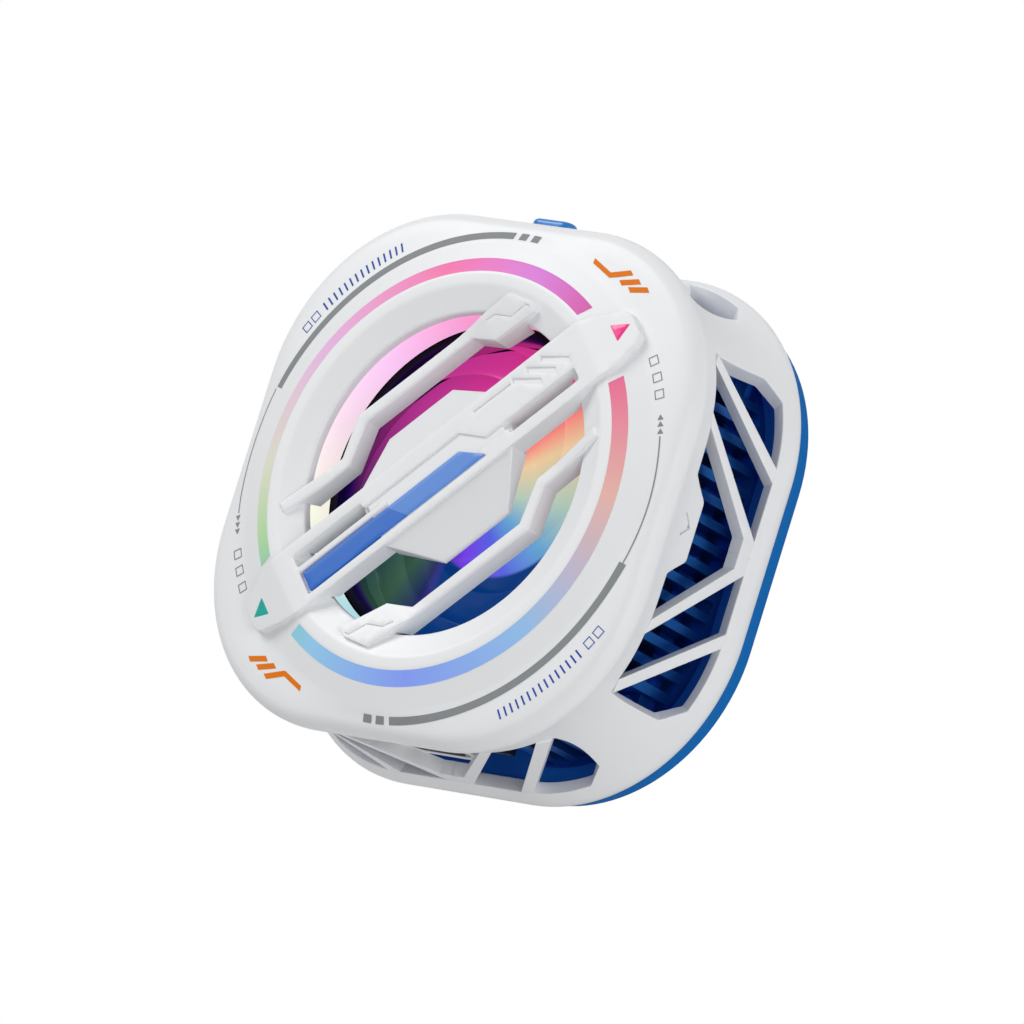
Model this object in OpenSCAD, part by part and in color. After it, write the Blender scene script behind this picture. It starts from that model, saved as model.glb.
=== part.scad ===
// Magnetic phone cooling fan: a rounded-square housing with a domed face, an inlet grille over a
// small fan, side vents all round, and a magnetic cold plate at the back.
// It lies on its back: +Z is the front of the product, +Y its top edge with the button, and -Y its
// bottom edge with the power socket. The origin is under its middle, on the resting face.

/* [Housing] */
// Width across the widest line of the front cap
cap_w = 66; // [64:0.5:76]
// Corner radius of the cap, seen from the front
cap_corner_r = 23; // [21:0.5:25]
// Height of the cap's widest line above the resting face
cap_z = 23.3; // [22.8:0.1:28]
// Radius of the rounded edge of the cap
cap_edge_r = 2.2; // [1.8:0.1:2.6]
// How far the rear flange stands out past the cap
flange_out = 0.6; // [0:0.1:1.2]
// Radius of the rounded edge of the rear flange
flange_edge_r = 1.6; // [1:0.1:2]
// Radius of the hollow waist between the cap and the flange
waist_r = 20; // [18:0.5:30]
// Wall thickness of the housing
wall = 1.6; // [1.2:0.1:1.8]

/* [Domed face] */
// How far in from the cap's edge the round dome begins
dome_in = 3.5; // [3:0.1:4]
// Height of the dome's outer circle above the cap line
dome_rise = 2.9; // [2.6:0.1:3.4]
// Height of the flat lip round the inlet above the cap line
lip_rise = 4.5; // [4.2:0.1:5]
// Width of the flat lip
lip_w = 1.5; // [1:0.1:2]
// Width of the sloping dish inside the lip
dish_w = 3.2; // [2.6:0.1:3.8]
// Drop of the dish from the lip to the inlet
dish_drop = 1.15; // [0.8:0.05:1.4]
// Thickness of the dish at the inlet
dish_t = 1.15; // [0.9:0.05:1.4]
// Width of the face from the air inlet out to the cap's edge
face_w = 12.5; // [12:0.1:13.2]
// Width of the light ring in the face
light_w = 2.1; // [1.6:0.1:2.4]
// Half width of the bridges that part the light ring under the bar
bridge_half = 5.5; // [5.2:0.1:6.5]

/* [Vents] */
// Distance from a side vent's end to the cap's edge
vent_end = 11.4; // [11:0.1:12.4]
// Depth of the vent's front edge below the cap line
vent_front = 4.2; // [4:0.1:5]
// Height of the vent's rear edge above the base plate
vent_sill = 3.7; // [3.4:0.1:4.6]
// Length of the chamfer at the vent's rear corners
vent_chamfer = 2.1; // [1:0.1:3]
// Width of a slanted vent bar, measured along the side
vent_bar_w = 1.9; // [1.6:0.1:2.6]
// Distance from a vent's end to the foot of its first slanted bar
vent_foot = 10.1; // [9.5:0.1:10.6]
// Half width of the tongue that hangs into the vent
tongue_half = 3.8; // [3.4:0.1:4.4]
// Depth of the tongue below the cap line
tongue_drop = 7.6; // [7:0.1:8.2]

/* [Grille] */
// Half width of the diagonal bar
bar_half = 4.4; // [4:0.1:4.8]
// Height of the diagonal bar's top above the cap line
bar_rise = 5.1; // [5:0.1:5.6]
// Depth of the bar, ribs and boss
bar_t = 2.7; // [2.2:0.1:3]
// Length of the bar's end tabs past the lip
tab_l = 6.9; // [6:0.1:7.4]
// Width of the slots that part the bar's two beams
bar_slot_w = 1.9; // [1.4:0.1:2.2]
// Length of the slots, as a share of the inlet's radius
slot_share = 0.537; // [0.4:0.01:0.56]
// Half width of the boss across its long edges, as a share of the inlet's radius
boss_share = 0.485; // [0.44:0.005:0.51]
// Width of a zigzag rib
rib_w = 1.6; // [1.2:0.1:2]
// Length of the blue name plate, as a share of the inlet's radius
plate_share = 1.32; // [1.1:0.01:1.36]
// Width of the name plate
plate_w = 2.9; // [2.4:0.1:3.2]

/* [Fan] */
// Distance from the inlet's edge in to the blade tips
fan_in = 1.7; // [1.6:0.1:2.4]
// Number of blades
blades = 7; // [5:1:9]
// Gap under the blades
blade_gap = 3.4; // [2.6:0.1:4]
// Outer radius of the hub
hub_r = 9.4; // [9:0.1:10]
// Sweep of a blade from its root to its tip in degrees
blade_sweep = 104; // [80:1:120]
// Radius of the fan shaft
shaft_r = 1; // [0.8:0.05:1.2]

/* [Cooling stack] */
// Thickness of the blue base plate
base_t = 2.4; // [2.1:0.1:2.6]
// How far the contact pad stands out of the base plate
pad_out = 0.4; // [0.3:0.05:0.6]
// Distance from the magnets in to the cold plate's contact face
cold_in = 3.2; // [2.6:0.1:5]
// Thickness of the cold plate
cold_t = 3; // [2.6:0.1:3.4]
// Distance from a corner post's centre in to the edge of the square thermoelectric module
tec_in = 6.8; // [6.2:0.1:9]
// Thickness of the thermoelectric module
tec_t = 3.4; // [3:0.1:3.8]
// Gap between the magnet ring and the heads of the housing screws
magnet_in = 1.3; // [1:0.1:1.8]
// Width of the magnet ring
magnet_w = 4.4; // [3.6:0.1:4.8]
// Number of magnets in the ring
magnets_n = 16; // [12:1:18]
// Thickness of the heatsink's base
sink_t = 2; // [1.6:0.1:2.4]
// Thickness of a heatsink fin
fin_t = 1.15; // [0.9:0.05:1.4]
// Spacing of the heatsink fins
fin_pitch = 2.65; // [2.4:0.05:3]

/* [Controls] */
// Width of the button
button_w = 6.2; // [5:0.1:6.6]
// Height of the button
button_h = 2.6; // [2.2:0.1:3]
// How far the button stands out past the cap's edge
button_out = 1.4; // [1:0.1:1.8]
// Travel of the button
button_travel = 0.4; // [0.3:0.05:0.5]
// Width of the power socket's metal shell
socket_w = 8.94; // [8.9:0.01:9]
// Height of the power socket's metal shell
socket_h = 3.26; // [3.2:0.01:3.3]
// Depth of the power socket
socket_l = 7.3; // [6.8:0.1:7.6]

/* [Fits] */
// Gap between moulded pieces
gap = 0.15; // [0.1:0.01:0.25]
// Radial running clearance of the shaft in its bearing
run_fit = 0.02; // [0.01:0.005:0.05]
// Gap round the button over its travel
button_gap = 0.3; // [0.25:0.01:0.4]
// Radial clearance round screws
screw_gap = 0.15; // [0.1:0.01:0.3]

/* [Hidden] */
$fn = 64;
eps = 0.01;
// Tall enough to cut through everything
far = 100;
diag = 45;
white = "whitesmoke";
board_green = "darkgreen";
steel = "silver";

// Heights of the stack, from the resting face up
base_z = pad_out;
base_top = base_z + base_t;
cold_top = cold_t + pad_out;
paste_t = 0.2;
tec_z = cold_top + paste_t;
sink_z = tec_z + tec_t + paste_t;
sink_top = sink_z + sink_t;
fin_top = cap_z - 4.7;
fan_base_t = 1.1;
fan_base_top = sink_top + fan_base_t;
shroud_t = 0.9;
board_t = 1;
board_top = cap_z + 0.3;
board_z = board_top - board_t;
shroud_top = board_z - 0.9;
rotor_top = shroud_top - 1;

// Plan of the housing
cap_half = cap_w / 2;
core_half = cap_half - cap_corner_r;
cap_c = [-cap_edge_r, cap_z];
flange_c = [flange_out - flange_edge_r, base_top + flange_edge_r];
waist_c = waist_centre(cap_c, cap_edge_r + waist_r, flange_c, flange_edge_r + waist_r);
cap_touch = between(cap_c, waist_c, cap_edge_r);
flange_touch = between(flange_c, waist_c, flange_edge_r);
waist_in = waist_r - waist_c.x;
chamber_half = cap_half - waist_in - wall;
chamber_corner = cap_corner_r - waist_in - wall;
chamber_top = cap_z + 0.9;
shoulder_angle = 72;
// How far in from the chamber's wall a vent is cut, to reach round the corners
vent_reach = 7;
shoulder_in = cap_edge_r * (1 - cos(shoulder_angle));
shoulder_z = cap_z + cap_edge_r * sin(shoulder_angle);
dome_r = cap_half - dome_in;
inlet_r = cap_half - face_w;
vent_half = cap_half - vent_end;

// Circles of the face
dish_r = inlet_r + dish_w;
lip_r = dish_r + lip_w;
lip_z = cap_z + lip_rise;
inlet_z = lip_z - dish_drop;
light_r = lip_r;
light_out_r = light_r + light_w;
dome_z = cap_z + dome_rise;
dome_slope = (lip_z - dome_z) / (dome_r - lip_r);
ceiling_z = inlet_z - dish_t;
light_floor = board_top + 0.95;
light_foot_t = 0.4;
pocket_r = light_out_r + 0.5;
ceiling_slope = (ceiling_z - light_floor - light_foot_t) / (pocket_r - lip_r + 0.4);
inner_ring_t = 0.8;
leds_n = 16;

// Screw posts at the corners
post_r = 2.4;
post_at = (chamber_half - chamber_corner) + (chamber_corner - post_r - 0.3) * sin(diag);
screw_r = 1;
screw_head_r = 1.9;
screw_head_t = 1.2;
screw_bite = 1.7;
post_ring = norm([post_at, post_at]);
magnet_r = post_ring - screw_head_r - magnet_in;
cold_r = magnet_r - magnet_w - cold_in;
tec_w = 2 * (post_at - tec_in);

// Grille levels
bar_top = cap_z + bar_rise;
bar_bottom = bar_top - bar_t;
boss_edge_z = bar_top - 2.1;
boss_ridge_z = bar_top - 0.25;
boss_bottom = boss_edge_z - 1;
boss_l = inlet_r / 2;
boss_half = boss_share * inlet_r;
rib_top = bar_top - 1.5;
rib_bottom = rib_top - bar_t;
tab_end = lip_r + tab_l - 1.2;
tab_t = 0.75;
tab_tip_half = 1.9;
lens_at = tab_end - 2.9;
lens_l = 2.3;
lens_half = 1.35;
slot_end = inlet_r + 1.3;
bar_slot_l = slot_share * inlet_r;
beam_half = 0.9;
plate_t = 0.5;
plate_from = -slot_end;
plate_l = plate_share * inlet_r;

// Fan
fan_r = inlet_r - fan_in;
shroud_r = fan_r + 0.6;
blade_top = rotor_top - 0.2;
blade_h = blade_top - fan_base_top - blade_gap;
blade_t = 0.8;
blade_chord = 92;
blade_twist = 10;
hub_wall = 0.106 * hub_r;
yoke_t = 0.064 * hub_r;
magnet_t = 0.085 * hub_r;
shoe_t = 0.085 * hub_r;
core_t = 0.128 * hub_r;
yoke_in = hub_r - hub_wall - yoke_t;
air_gap = 0.3;
stator_r = yoke_in - magnet_t - air_gap;
hub_top_t = 1.2;
shaft_top = rotor_top - 0.5;
tooth_w = 1.4;
coil_w = 2.8;
bearing_r = shaft_r + 0.117 * hub_r;
tube_r = bearing_r + 0.096 * hub_r;
tube_top = rotor_top - 3.2;
hub_z = fan_base_top + 0.8;
washer_t = 0.4;
floor_t = 0.5;
washer_z = sink_top + floor_t;
bearing_z = washer_z + washer_t;
shaft_z = bearing_z + 0.3;
stator_z = fan_base_top + 1.6;
stator_t = 3.4;
teeth = 6;
fan_arms = 3;
arm_w = 3.4;
base_ring_w = 2.6;
fan_screw_r = 0.8;
fan_screw_at = shroud_r - base_ring_w / 2;
fan_screw_bite = 1.4;

// Heatsink
sink_half = chamber_half - 0.8;
sink_corner = chamber_corner - 0.8;
sink_bore_r = shroud_r + 1.3;
fins_n = floor((sink_half - 8) / fin_pitch);
skirt_in = sink_half - 4;
skirt_lap = 0.4;
skirt_z = base_top + 1.6;
skirt_t = 1.2;
boss_r = 2.2;
sink_screw_at = max(tec_w / 2 + boss_r + gap, (shroud_r + screw_head_r + 3.3) / sqrt(2));
sink_bite = 3;
ceramic_t = 0.7;
pellets_n = 8;
pellet_w = 1.6;
cold_step = 1.2;
base_in = 0.7;
channel_t = 1.3;
shield_t = 0.3;
magnet_half = 180 / magnets_n - 0.5;
pad_r = post_ring - screw_head_r - 2 * screw_gap;

// Power board
pcb_half = 9.6;
pcb_z = sink_top + 0.4;
pcb_top = pcb_z + board_t;
pcb_in = sink_bore_r + 0.5;
pcb_out = chamber_half - 0.3;
bay_half = pcb_half + 0.6;
socket_z = pcb_top + socket_h / 2;
socket_face = chamber_half + 1;
bezel_half = socket_w / 2 + 1.3;
bezel_h = socket_h + 2;
pcb_post_x = pcb_half - 1.4;
pcb_post_y = (pcb_in + pcb_out) / 2 + 1;
pcb_pin_r = 0.6;
chip_w = 3.4;
shell_t = 0.3;
cable_w = 3.4;
cable_t = 0.3;
lead_x = 3.4;
lead_r = 0.6;
lead_end = pcb_in + 1.6;
bead_r = 0.8;
foam_half = tec_w / 2 + 3;
bead_y = max(cold_r - 0.2, foam_half + bead_r + gap);
wire_r = 0.25;

// Button and switch
button_z = cap_z - 2.9;
button_face = cap_half + button_out;
switch_h = 3.4;
switch_l = 3;
switch_half = 2.6;
switch_front = chamber_half - 2.3;
plunger_l = 0.6;
plunger_in = 0.3;
plunger_w = 1.6;
plunger_h = 1.2;
stem_end = switch_front + plunger_l;
collar_t = 0.8;
collar_at = chamber_half - collar_t - button_gap;
chevron_depth = 0.35;
recess_t = plunger_in + button_travel + button_gap;
chevron_z = cap_z - vent_front - 1;

// Where three circles meet: the centre of the waist's hollow, outside the housing
function waist_centre(a, ra, b, rb) =
    let (d = norm(b - a), u = (b - a) / d, k = (ra * ra - rb * rb + d * d) / (2 * d))
    a + k * u + sqrt(ra * ra - k * k) * [-u.y, u.x];
// The point r away from a on the way to b
function between(a, b, r) = a + r * (b - a) / norm(b - a);
// Height of the dome over the radius r, between the lip and the dome's outer circle
function dome_at(r) = lip_z - dome_slope * (r - lip_r);

// How far the waist's skin lies out of the cap outline at the height z
function waist_at(z) = waist_c.x - sqrt(waist_r * waist_r - (z - waist_c.y) * (z - waist_c.y));
// Height of the underside of the dome over the radius r
function ceiling_at(r) = ceiling_z - ceiling_slope * (r - lip_r + 0.4);

// Rounded square of half width h and corner radius r
module rounded_square(h, r) {
    square([2 * (h - r), 2 * h], center = true);
    square([2 * h, 2 * (h - r)], center = true);
    for (x = [-1, 1], y = [-1, 1])
        translate([x * (h - r), y * (h - r)]) circle(r);
}

// Rounded-square slab from z up
module slab(h, r, z, t) {
    translate([0, 0, z]) linear_extrude(t) rounded_square(h, r);
}

// Flat ring from z up
module ring(r_out, r_in, z, t) {
    translate([0, 0, z]) linear_extrude(t) difference() {
        circle(r_out);
        circle(r_in);
    }
}

// Upright cylinder from z up
module post(r, z, t) {
    translate([0, 0, z]) cylinder(r = r, h = t);
}

// One copy on each side of the housing
module each_side() {
    for (a = [0 : 90 : 270])
        rotate(a) children();
}

// One copy at each corner, d along both axes
module each_corner(d) {
    each_side() translate([d, d, 0]) children();
}

// Stands a drawing of a side upright: its x runs along the side, its y up, and it reaches from d outward
module on_side(d, t) {
    translate([d, 0, 0]) rotate([90, 0, 90]) linear_extrude(t) children();
}

// Section of the cap edge, the waist and the flange, measured from the corner centres
module side_section() {
    translate([cap_corner_r, 0]) difference() {
        intersection() {
            union() {
                polygon([[-cap_corner_r, base_top], [flange_c.x, base_top], flange_c, flange_touch,
                         cap_touch, cap_c, [cap_c.x, cap_z + cap_edge_r],
                         [-cap_corner_r, cap_z + cap_edge_r]]);
                translate(cap_c) circle(cap_edge_r);
                translate(flange_c) circle(flange_edge_r);
            }
            translate([-cap_corner_r, 0]) square([2 * cap_corner_r, shoulder_z]);
        }
        translate(waist_c) circle(waist_r);
    }
}

// Outside of the housing up to the shoulder: the section carried round the rounded square
module outer_sweep() {
    for (a = [0, 90])
        rotate(a) rotate([90, 0, 0]) linear_extrude(2 * core_half, center = true) {
            translate([core_half, 0]) side_section();
            mirror([1, 0]) translate([core_half, 0]) side_section();
            translate([-core_half, base_top]) square([2 * core_half, shoulder_z - base_top]);
        }
    each_corner(core_half) rotate_extrude(angle = 90) side_section();
}

// The shoulder that eases the rounded square into the round dome
module shoulder() {
    hull() {
        slab(cap_half - shoulder_in, cap_corner_r - shoulder_in, shoulder_z - eps, eps, $fn = 96);
        translate([0, 0, dome_z - eps]) cylinder(r = dome_r, h = eps, $fn = 96);
    }
}

// Dome, lip and dish round the inlet
module face() {
    rotate_extrude() polygon([[inlet_r - 1, shoulder_z - 1], [dome_r, shoulder_z - 1], [dome_r, dome_z],
                              [lip_r, lip_z], [dish_r, lip_z], [inlet_r, inlet_z], [inlet_r - 1, inlet_z]]);
}

// Holes of one side vent, drawn along the side and up from the resting face
module vent_holes() {
    front = cap_z - vent_front;
    rear = base_top + vent_sill;
    foot = vent_half - vent_foot;
    tongue_z = cap_z - tongue_drop;
    for (m = [0, 1])
        mirror([m, 0]) {
            // End hole outside the first bar
            polygon([[vent_half - 0.1, front - 0.9], [vent_half + 0.2, rear + vent_chamfer],
                     [vent_half + 0.2 - vent_chamfer, rear], [foot, rear]]);
            // Slanted hole between the two bars
            polygon([[vent_half - 1.7, front - 0.2], [foot - vent_bar_w, rear],
                     [vent_bar_w + 0.3, rear], [vent_half - 7.5, front + 0.3]]);
            // Half of the middle hole, between the tongue and the bent bars
            polygon([[-eps, rear + vent_bar_w], [vent_bar_w, rear + vent_bar_w],
                     [vent_half - 7.6 - vent_bar_w, front], [tongue_half + 2.5, front],
                     [tongue_half, tongue_z], [-eps, tongue_z]]);
        }
}

// Two arcs of the light ring, kept clear of the bridges under the bar
module light_arcs(r_out, r_in, clear) {
    difference() {
        circle(r_out);
        circle(r_in);
        rotate(diag) square([far, 2 * (bridge_half + clear)], center = true);
    }
}

// White moulded shell: domed face, waist with vents, and rear flange
module housing() {
    color(white) {
        difference() {
            union() {
                difference() {
                    union() {
                        outer_sweep();
                        shoulder();
                        face();
                    }
                    chamber();
                    each_side() on_side(chamber_half - vent_reach, far) vent_holes();
                }
                each_corner(post_at) post(post_r, board_top, chamber_top - board_top + eps);
                socket_bezel();
            }
            translate([0, 0, board_top]) linear_extrude(far) light_arcs(light_out_r, light_r, 0);
            each_corner(post_at) post(screw_r, board_top - eps, screw_bite);
            button_hole(button_gap);
            chevron();
            socket_hole();
        }
    }
}

// Engraved arrow on the tongue of one side
module chevron() {
    on_side(cap_half + waist_at(chevron_z) - chevron_depth, 2)
        polygon([[-1.3, chevron_z + 0.9], [0.1, chevron_z - 0.9], [1.5, chevron_z + 0.9], [1.5, chevron_z + 0.5],
                 [0.1, chevron_z - 1.3], [-1.3, chevron_z + 0.5]]);
}

// Space inside the housing
module chamber() {
    slab(chamber_half, chamber_corner, base_top - eps, chamber_top - base_top + eps);
    rotate_extrude() polygon([[0, chamber_top - eps], [pocket_r, chamber_top - eps],
                              [pocket_r, light_floor + light_foot_t], [lip_r - 0.4, ceiling_z],
                              [inlet_r, ceiling_z], [inlet_r, far], [0, far]]);
}

// Block in the bottom vent that frames the power socket
module socket_bezel() {
    rotate(-90) on_side(chamber_half, 1.2)
        translate([-bezel_half, socket_z - bezel_h / 2]) square([2 * bezel_half, bezel_h]);
}

// Outline of the power socket, grown by g
module socket_outline(g) {
    r = socket_h / 2;
    translate([0, socket_z]) {
        square([socket_w - 2 * r, 2 * (r + g)], center = true);
        for (x = [-1, 1])
            translate([x * (socket_w / 2 - r), 0]) circle(r + g);
    }
}

module socket_hole() {
    rotate(-90) on_side(chamber_half - 1, 4) socket_outline(gap);
}

// Outline of the button, grown by g
module button_outline(g) {
    r = button_h / 2;
    translate([0, button_z]) {
        square([button_w - 2 * r, 2 * (r + g)], center = true);
        for (x = [-1, 1])
            translate([x * (button_w / 2 - r), 0]) circle(r + g);
    }
}

module button_hole(g) {
    rotate(90) on_side(chamber_half - 1, 8) button_outline(g);
}

// Blue push button on the top edge, with a collar that keeps it in
module power_button() {
    color("dodgerblue") rotate(90) {
        on_side(collar_at, button_face - collar_at - 0.6) button_outline(0);
        on_side(button_face - 0.6 - eps, 0.6 + eps) button_outline(-0.4);
        on_side(collar_at, collar_t) intersection() {
            button_outline(0.9);
            translate([-button_w, fin_top + button_gap])
                square([2 * button_w, board_z - fin_top - 2 * button_gap]);
        }
        on_side(stem_end, collar_at - stem_end + eps)
            translate([0, button_z]) square([1.8, 1.6], center = true);
    }
}

// Side-acting switch under the light board, open toward the button
module tact_switch() {
    color("dimgray") rotate(90) difference() {
        translate([switch_front - switch_l, -switch_half, board_z - switch_h])
            cube([switch_l, 2 * switch_half, switch_h]);
        on_side(switch_front - recess_t, far) translate([0, button_z])
            square([plunger_w + 2 * button_gap, plunger_h + 2 * button_gap], center = true);
    }
}

// Plunger of the switch, pushed in by the button's stem
module switch_plunger() {
    color("linen") rotate(90) on_side(switch_front - plunger_in, plunger_in + plunger_l)
        translate([0, button_z]) square([plunger_w, plunger_h], center = true);
}

// Plan of the diagonal bar with its end tabs, along x
module bar_plan() {
    polygon([for (m = [1, -1], p = [
        [lip_r - 1, -bar_half], [tab_end - 4.2, -bar_half + 0.2], [tab_end - 0.5, -tab_tip_half - 0.6],
        [tab_end, -tab_tip_half], [tab_end, tab_tip_half - 0.7], [tab_end - 0.6, tab_tip_half + 0.2],
        [tab_end - 4.2, bar_half - 0.7], [lip_r - 1, bar_half]]) m * p]);
}

// Everything under the outer skin of the face, which the bar and the ribs are cut to
module face_body() {
    rotate_extrude() polygon([[inlet_r - gap, 0], [far, 0], [far, dome_z], [dome_r, dome_z],
                              [lip_r, lip_z], [dish_r, lip_z], [inlet_r - gap, inlet_z]]);
}

// Bar's length seen from the side: level over the inlet, then down the dome at both ends
module bar_side() {
    polygon([[-tab_end, bar_bottom], [tab_end, bar_bottom], [tab_end, dome_z + tab_t],
             [lip_r - 0.6, bar_top], [0.6 - lip_r, bar_top], [-tab_end, dome_z + tab_t]]);
}

// Two slots, one at each end, with the bar's beams to either side
module bar_slots() {
    for (a = [0, 180])
        rotate(a) translate([slot_end - bar_slot_l, -beam_half - bar_slot_w])
            square([bar_slot_l, bar_slot_w]);
}

// Shallow stepped channel that joins the slots and parts the two beams
module beam_channel() {
    step = slot_end - bar_slot_l + eps;
    polygon([for (m = [1, -1], p = [[-step, 2], [4.6, 2], [4.6 + 2 + beam_half, -beam_half],
                                    [step, -beam_half]]) m * p]);
}

// Outline of the name plate with its slanted end, grown by g
module plate_plan(g) {
    translate([plate_from - g, -beam_half - 2.1 - g])
        polygon([[0, 0], [plate_l + 1.6 + 2 * g, 0], [plate_l - 1.6 + 2 * g, plate_w + 2 * g],
                 [0, plate_w + 2 * g]]);
}

// Three-sided window near the tip of a tab, grown by g
module lens_plan(g) {
    for (a = [0, 180])
        rotate(a) translate([lens_at, 0])
            polygon([[-g, -lens_half - 1.6 * g], [lens_l + 2 * g, 0], [-g, lens_half + 1.6 * g]]);
}

// Six-sided boss in the middle, its top falling away to both sides of the bar
module boss() {
    intersection() {
        linear_extrude(far) polygon([for (m = [1, -1], p = [[boss_l, -bar_half], [boss_l, bar_half],
                                     [boss_l / 2, boss_half], [-boss_l / 2, boss_half]]) m * p]);
        rotate([90, 0, 90]) linear_extrude(far, center = true)
            polygon([[-boss_half, boss_bottom], [boss_half, boss_bottom], [boss_half, boss_edge_z],
                     [bar_half, boss_ridge_z], [-bar_half, boss_ridge_z], [-boss_half, boss_edge_z]]);
    }
}

// Diagonal bar of two stepped beams over the inlet, with a boss in the middle and a tab at each end
module cross_bar() {
    color("gainsboro") rotate(diag) difference() {
        union() {
            intersection() {
                linear_extrude(far) bar_plan();
                rotate([90, 0, 0]) linear_extrude(far, center = true) bar_side();
            }
            boss();
        }
        face_body();
        linear_extrude(far) bar_slots();
        translate([0, 0, bar_top - plate_t]) linear_extrude(far) {
            beam_channel();
            plate_plan(gap / 3);
        }
        linear_extrude(far) lens_plan(0);
    }
}

// Blue plate let into the bar, left bare
module name_plate() {
    color("royalblue") rotate(diag) translate([0, 0, bar_top - plate_t])
        linear_extrude(plate_t + 0.1) plate_plan(0);
}

// Tinted three-sided windows at the ends of the bar
module bar_lenses() {
    color("hotpink") rotate(diag) intersection() {
        translate([0, 0, dome_z]) linear_extrude(bar_rise) lens_plan(0);
        difference() {
            rotate([90, 0, 0]) linear_extrude(far, center = true) bar_side();
            face_body();
        }
    }
}

// Plan of one zigzag rib, laid out in shares of the inlet's radius
module rib_plan() {
    inner = 0.722 * inlet_r - rib_w;
    polygon([[-1.02 * inlet_r, 0.53 * inlet_r - rib_w], [-0.53 * inlet_r, 0.542 * inlet_r - rib_w],
             [-0.312 * inlet_r, inner], [0.522 * inlet_r, inner], [0.654 * inlet_r, 0.517 * inlet_r],
             [0.99 * inlet_r, 0.473 * inlet_r], [0.98 * inlet_r, 0.551 * inlet_r],
             [0.849 * inlet_r, 0.746 * inlet_r], [0.624 * inlet_r, 0.756 * inlet_r],
             [-0.346 * inlet_r, 0.722 * inlet_r], [-0.551 * inlet_r, 0.542 * inlet_r],
             [-1.02 * inlet_r, 0.53 * inlet_r]]);
}

// Two zigzag guard ribs, one on each side of the bar, their ends swept up onto the dish
module guard_ribs() {
    color(white) rotate(diag) difference() {
        intersection() {
            for (a = [0, 180])
                rotate(a) linear_extrude(far) rib_plan();
            rotate_extrude() polygon([[0, rib_bottom], [dish_r - 0.4, rib_bottom], [dish_r - 0.4, lip_z + 0.3],
                                      [inlet_r - 3.5, rib_top], [0, rib_top]]);
        }
        face_body();
    }
}

// Two clear light guides flush with the dome, with a foot under it
module light_ring() {
    color("plum") {
        intersection() {
            linear_extrude(far) light_arcs(light_out_r, light_r, 0);
            rotate_extrude() polygon([[light_r, light_floor], [light_out_r, light_floor],
                                      [light_out_r, dome_at(light_out_r)], [light_r, dome_at(light_r)]]);
        }
        intersection() {
            linear_extrude(far) light_arcs(pocket_r - gap, lip_r - 0.4 + gap, 0);
            rotate_extrude() polygon([[lip_r - 0.4 + gap, light_floor], [pocket_r - gap, light_floor],
                                      [pocket_r - gap, ceiling_at(pocket_r - gap)],
                                      [lip_r - 0.4 + gap, ceiling_at(lip_r - 0.4 + gap)]]);
        }
    }
}

// Clear ring that lines the inlet under the dish and glows inward
module inner_light_ring() {
    color("lavender") rotate_extrude() polygon([
        [inlet_r, board_z - 1.2], [inlet_r + inner_ring_t, board_z - 1.2],
        [inlet_r + inner_ring_t, ceiling_z - 0.6], [dish_r, ceiling_z - 0.6], [dish_r, ceiling_z],
        [inlet_r, ceiling_z]]);
}

// Ring-shaped light board with an ear on each corner post
module led_board() {
    color(board_green) translate([0, 0, board_z]) linear_extrude(board_t) difference() {
        union() {
            circle(pocket_r);
            each_corner(post_at) circle(post_r);
            each_side() rotate(diag) translate([lip_r, -post_r])
                square([post_ring - lip_r, 2 * post_r]);
        }
        circle(inlet_r + inner_ring_t + 2 * gap);
        each_corner(post_at) circle(screw_r + screw_gap);
    }
}

// Light-emitting chips under the light ring
module leds() {
    color("ivory") for (k = [0 : leds_n - 1])
        rotate((k + 0.5) * 360 / leds_n) translate([(light_r + light_out_r) / 2, 0, board_top + 0.35])
            cube([2, 2, 0.7], center = true);
}

// Short duct round the blades, its flange on the tops of the fins
module fan_shroud() {
    color("dimgray") rotate_extrude() polygon([
        [shroud_r, fin_top - 2], [shroud_r + shroud_t, fin_top - 2], [shroud_r + shroud_t, fin_top],
        [sink_bore_r + 2.6, fin_top], [sink_bore_r + 2.6, fin_top + 0.7],
        [shroud_r + shroud_t, fin_top + 0.7], [shroud_r + shroud_t, shroud_top], [shroud_r, shroud_top]]);
}

// Point on a blade: u runs from the hub to the tip, v from the leading edge to the trailing edge
function blade_point(u, v, side) =
    let (r = hub_r - 0.4 + u * (fan_r - hub_r + 0.4),
         a = blade_sweep * u * (0.6 + 0.4 * u) - (blade_chord - blade_twist * u) * v,
         z = blade_top - blade_t / 2 - (blade_h - blade_t) * v * (0.75 + 0.25 * v) - 0.8 * u * (1 - v))
    [r * cos(a), r * sin(a), z + side * blade_t / 2];

// One curved, swept blade, a grid of points on its upper and its lower face
module blade() {
    n = 10;
    row = n + 1;
    k = row * row;
    points = [for (side = [1, -1], i = [0 : n], j = [0 : n]) blade_point(i / n, j / n, side)];
    cells = [for (i = [0 : n - 1], j = [0 : n - 1]) i * row + j];
    rim = concat([for (j = [0 : n - 1]) [j, j + 1]],
                 [for (i = [0 : n - 1]) [i * row + n, (i + 1) * row + n]],
                 [for (j = [n : -1 : 1]) [n * row + j, n * row + j - 1]],
                 [for (i = [n : -1 : 1]) [i * row, (i - 1) * row]]);
    polyhedron(points, concat(
        [for (c = cells) [c, c + row, c + 1]], [for (c = cells) [c + 1, c + row, c + row + 1]],
        [for (c = cells) [k + c, k + c + 1, k + c + row]],
        [for (c = cells) [k + c + 1, k + c + row + 1, k + c + row]],
        [for (e = rim) [e[0], e[1], k + e[0]]], [for (e = rim) [e[1], k + e[1], k + e[0]]]));
}

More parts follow.
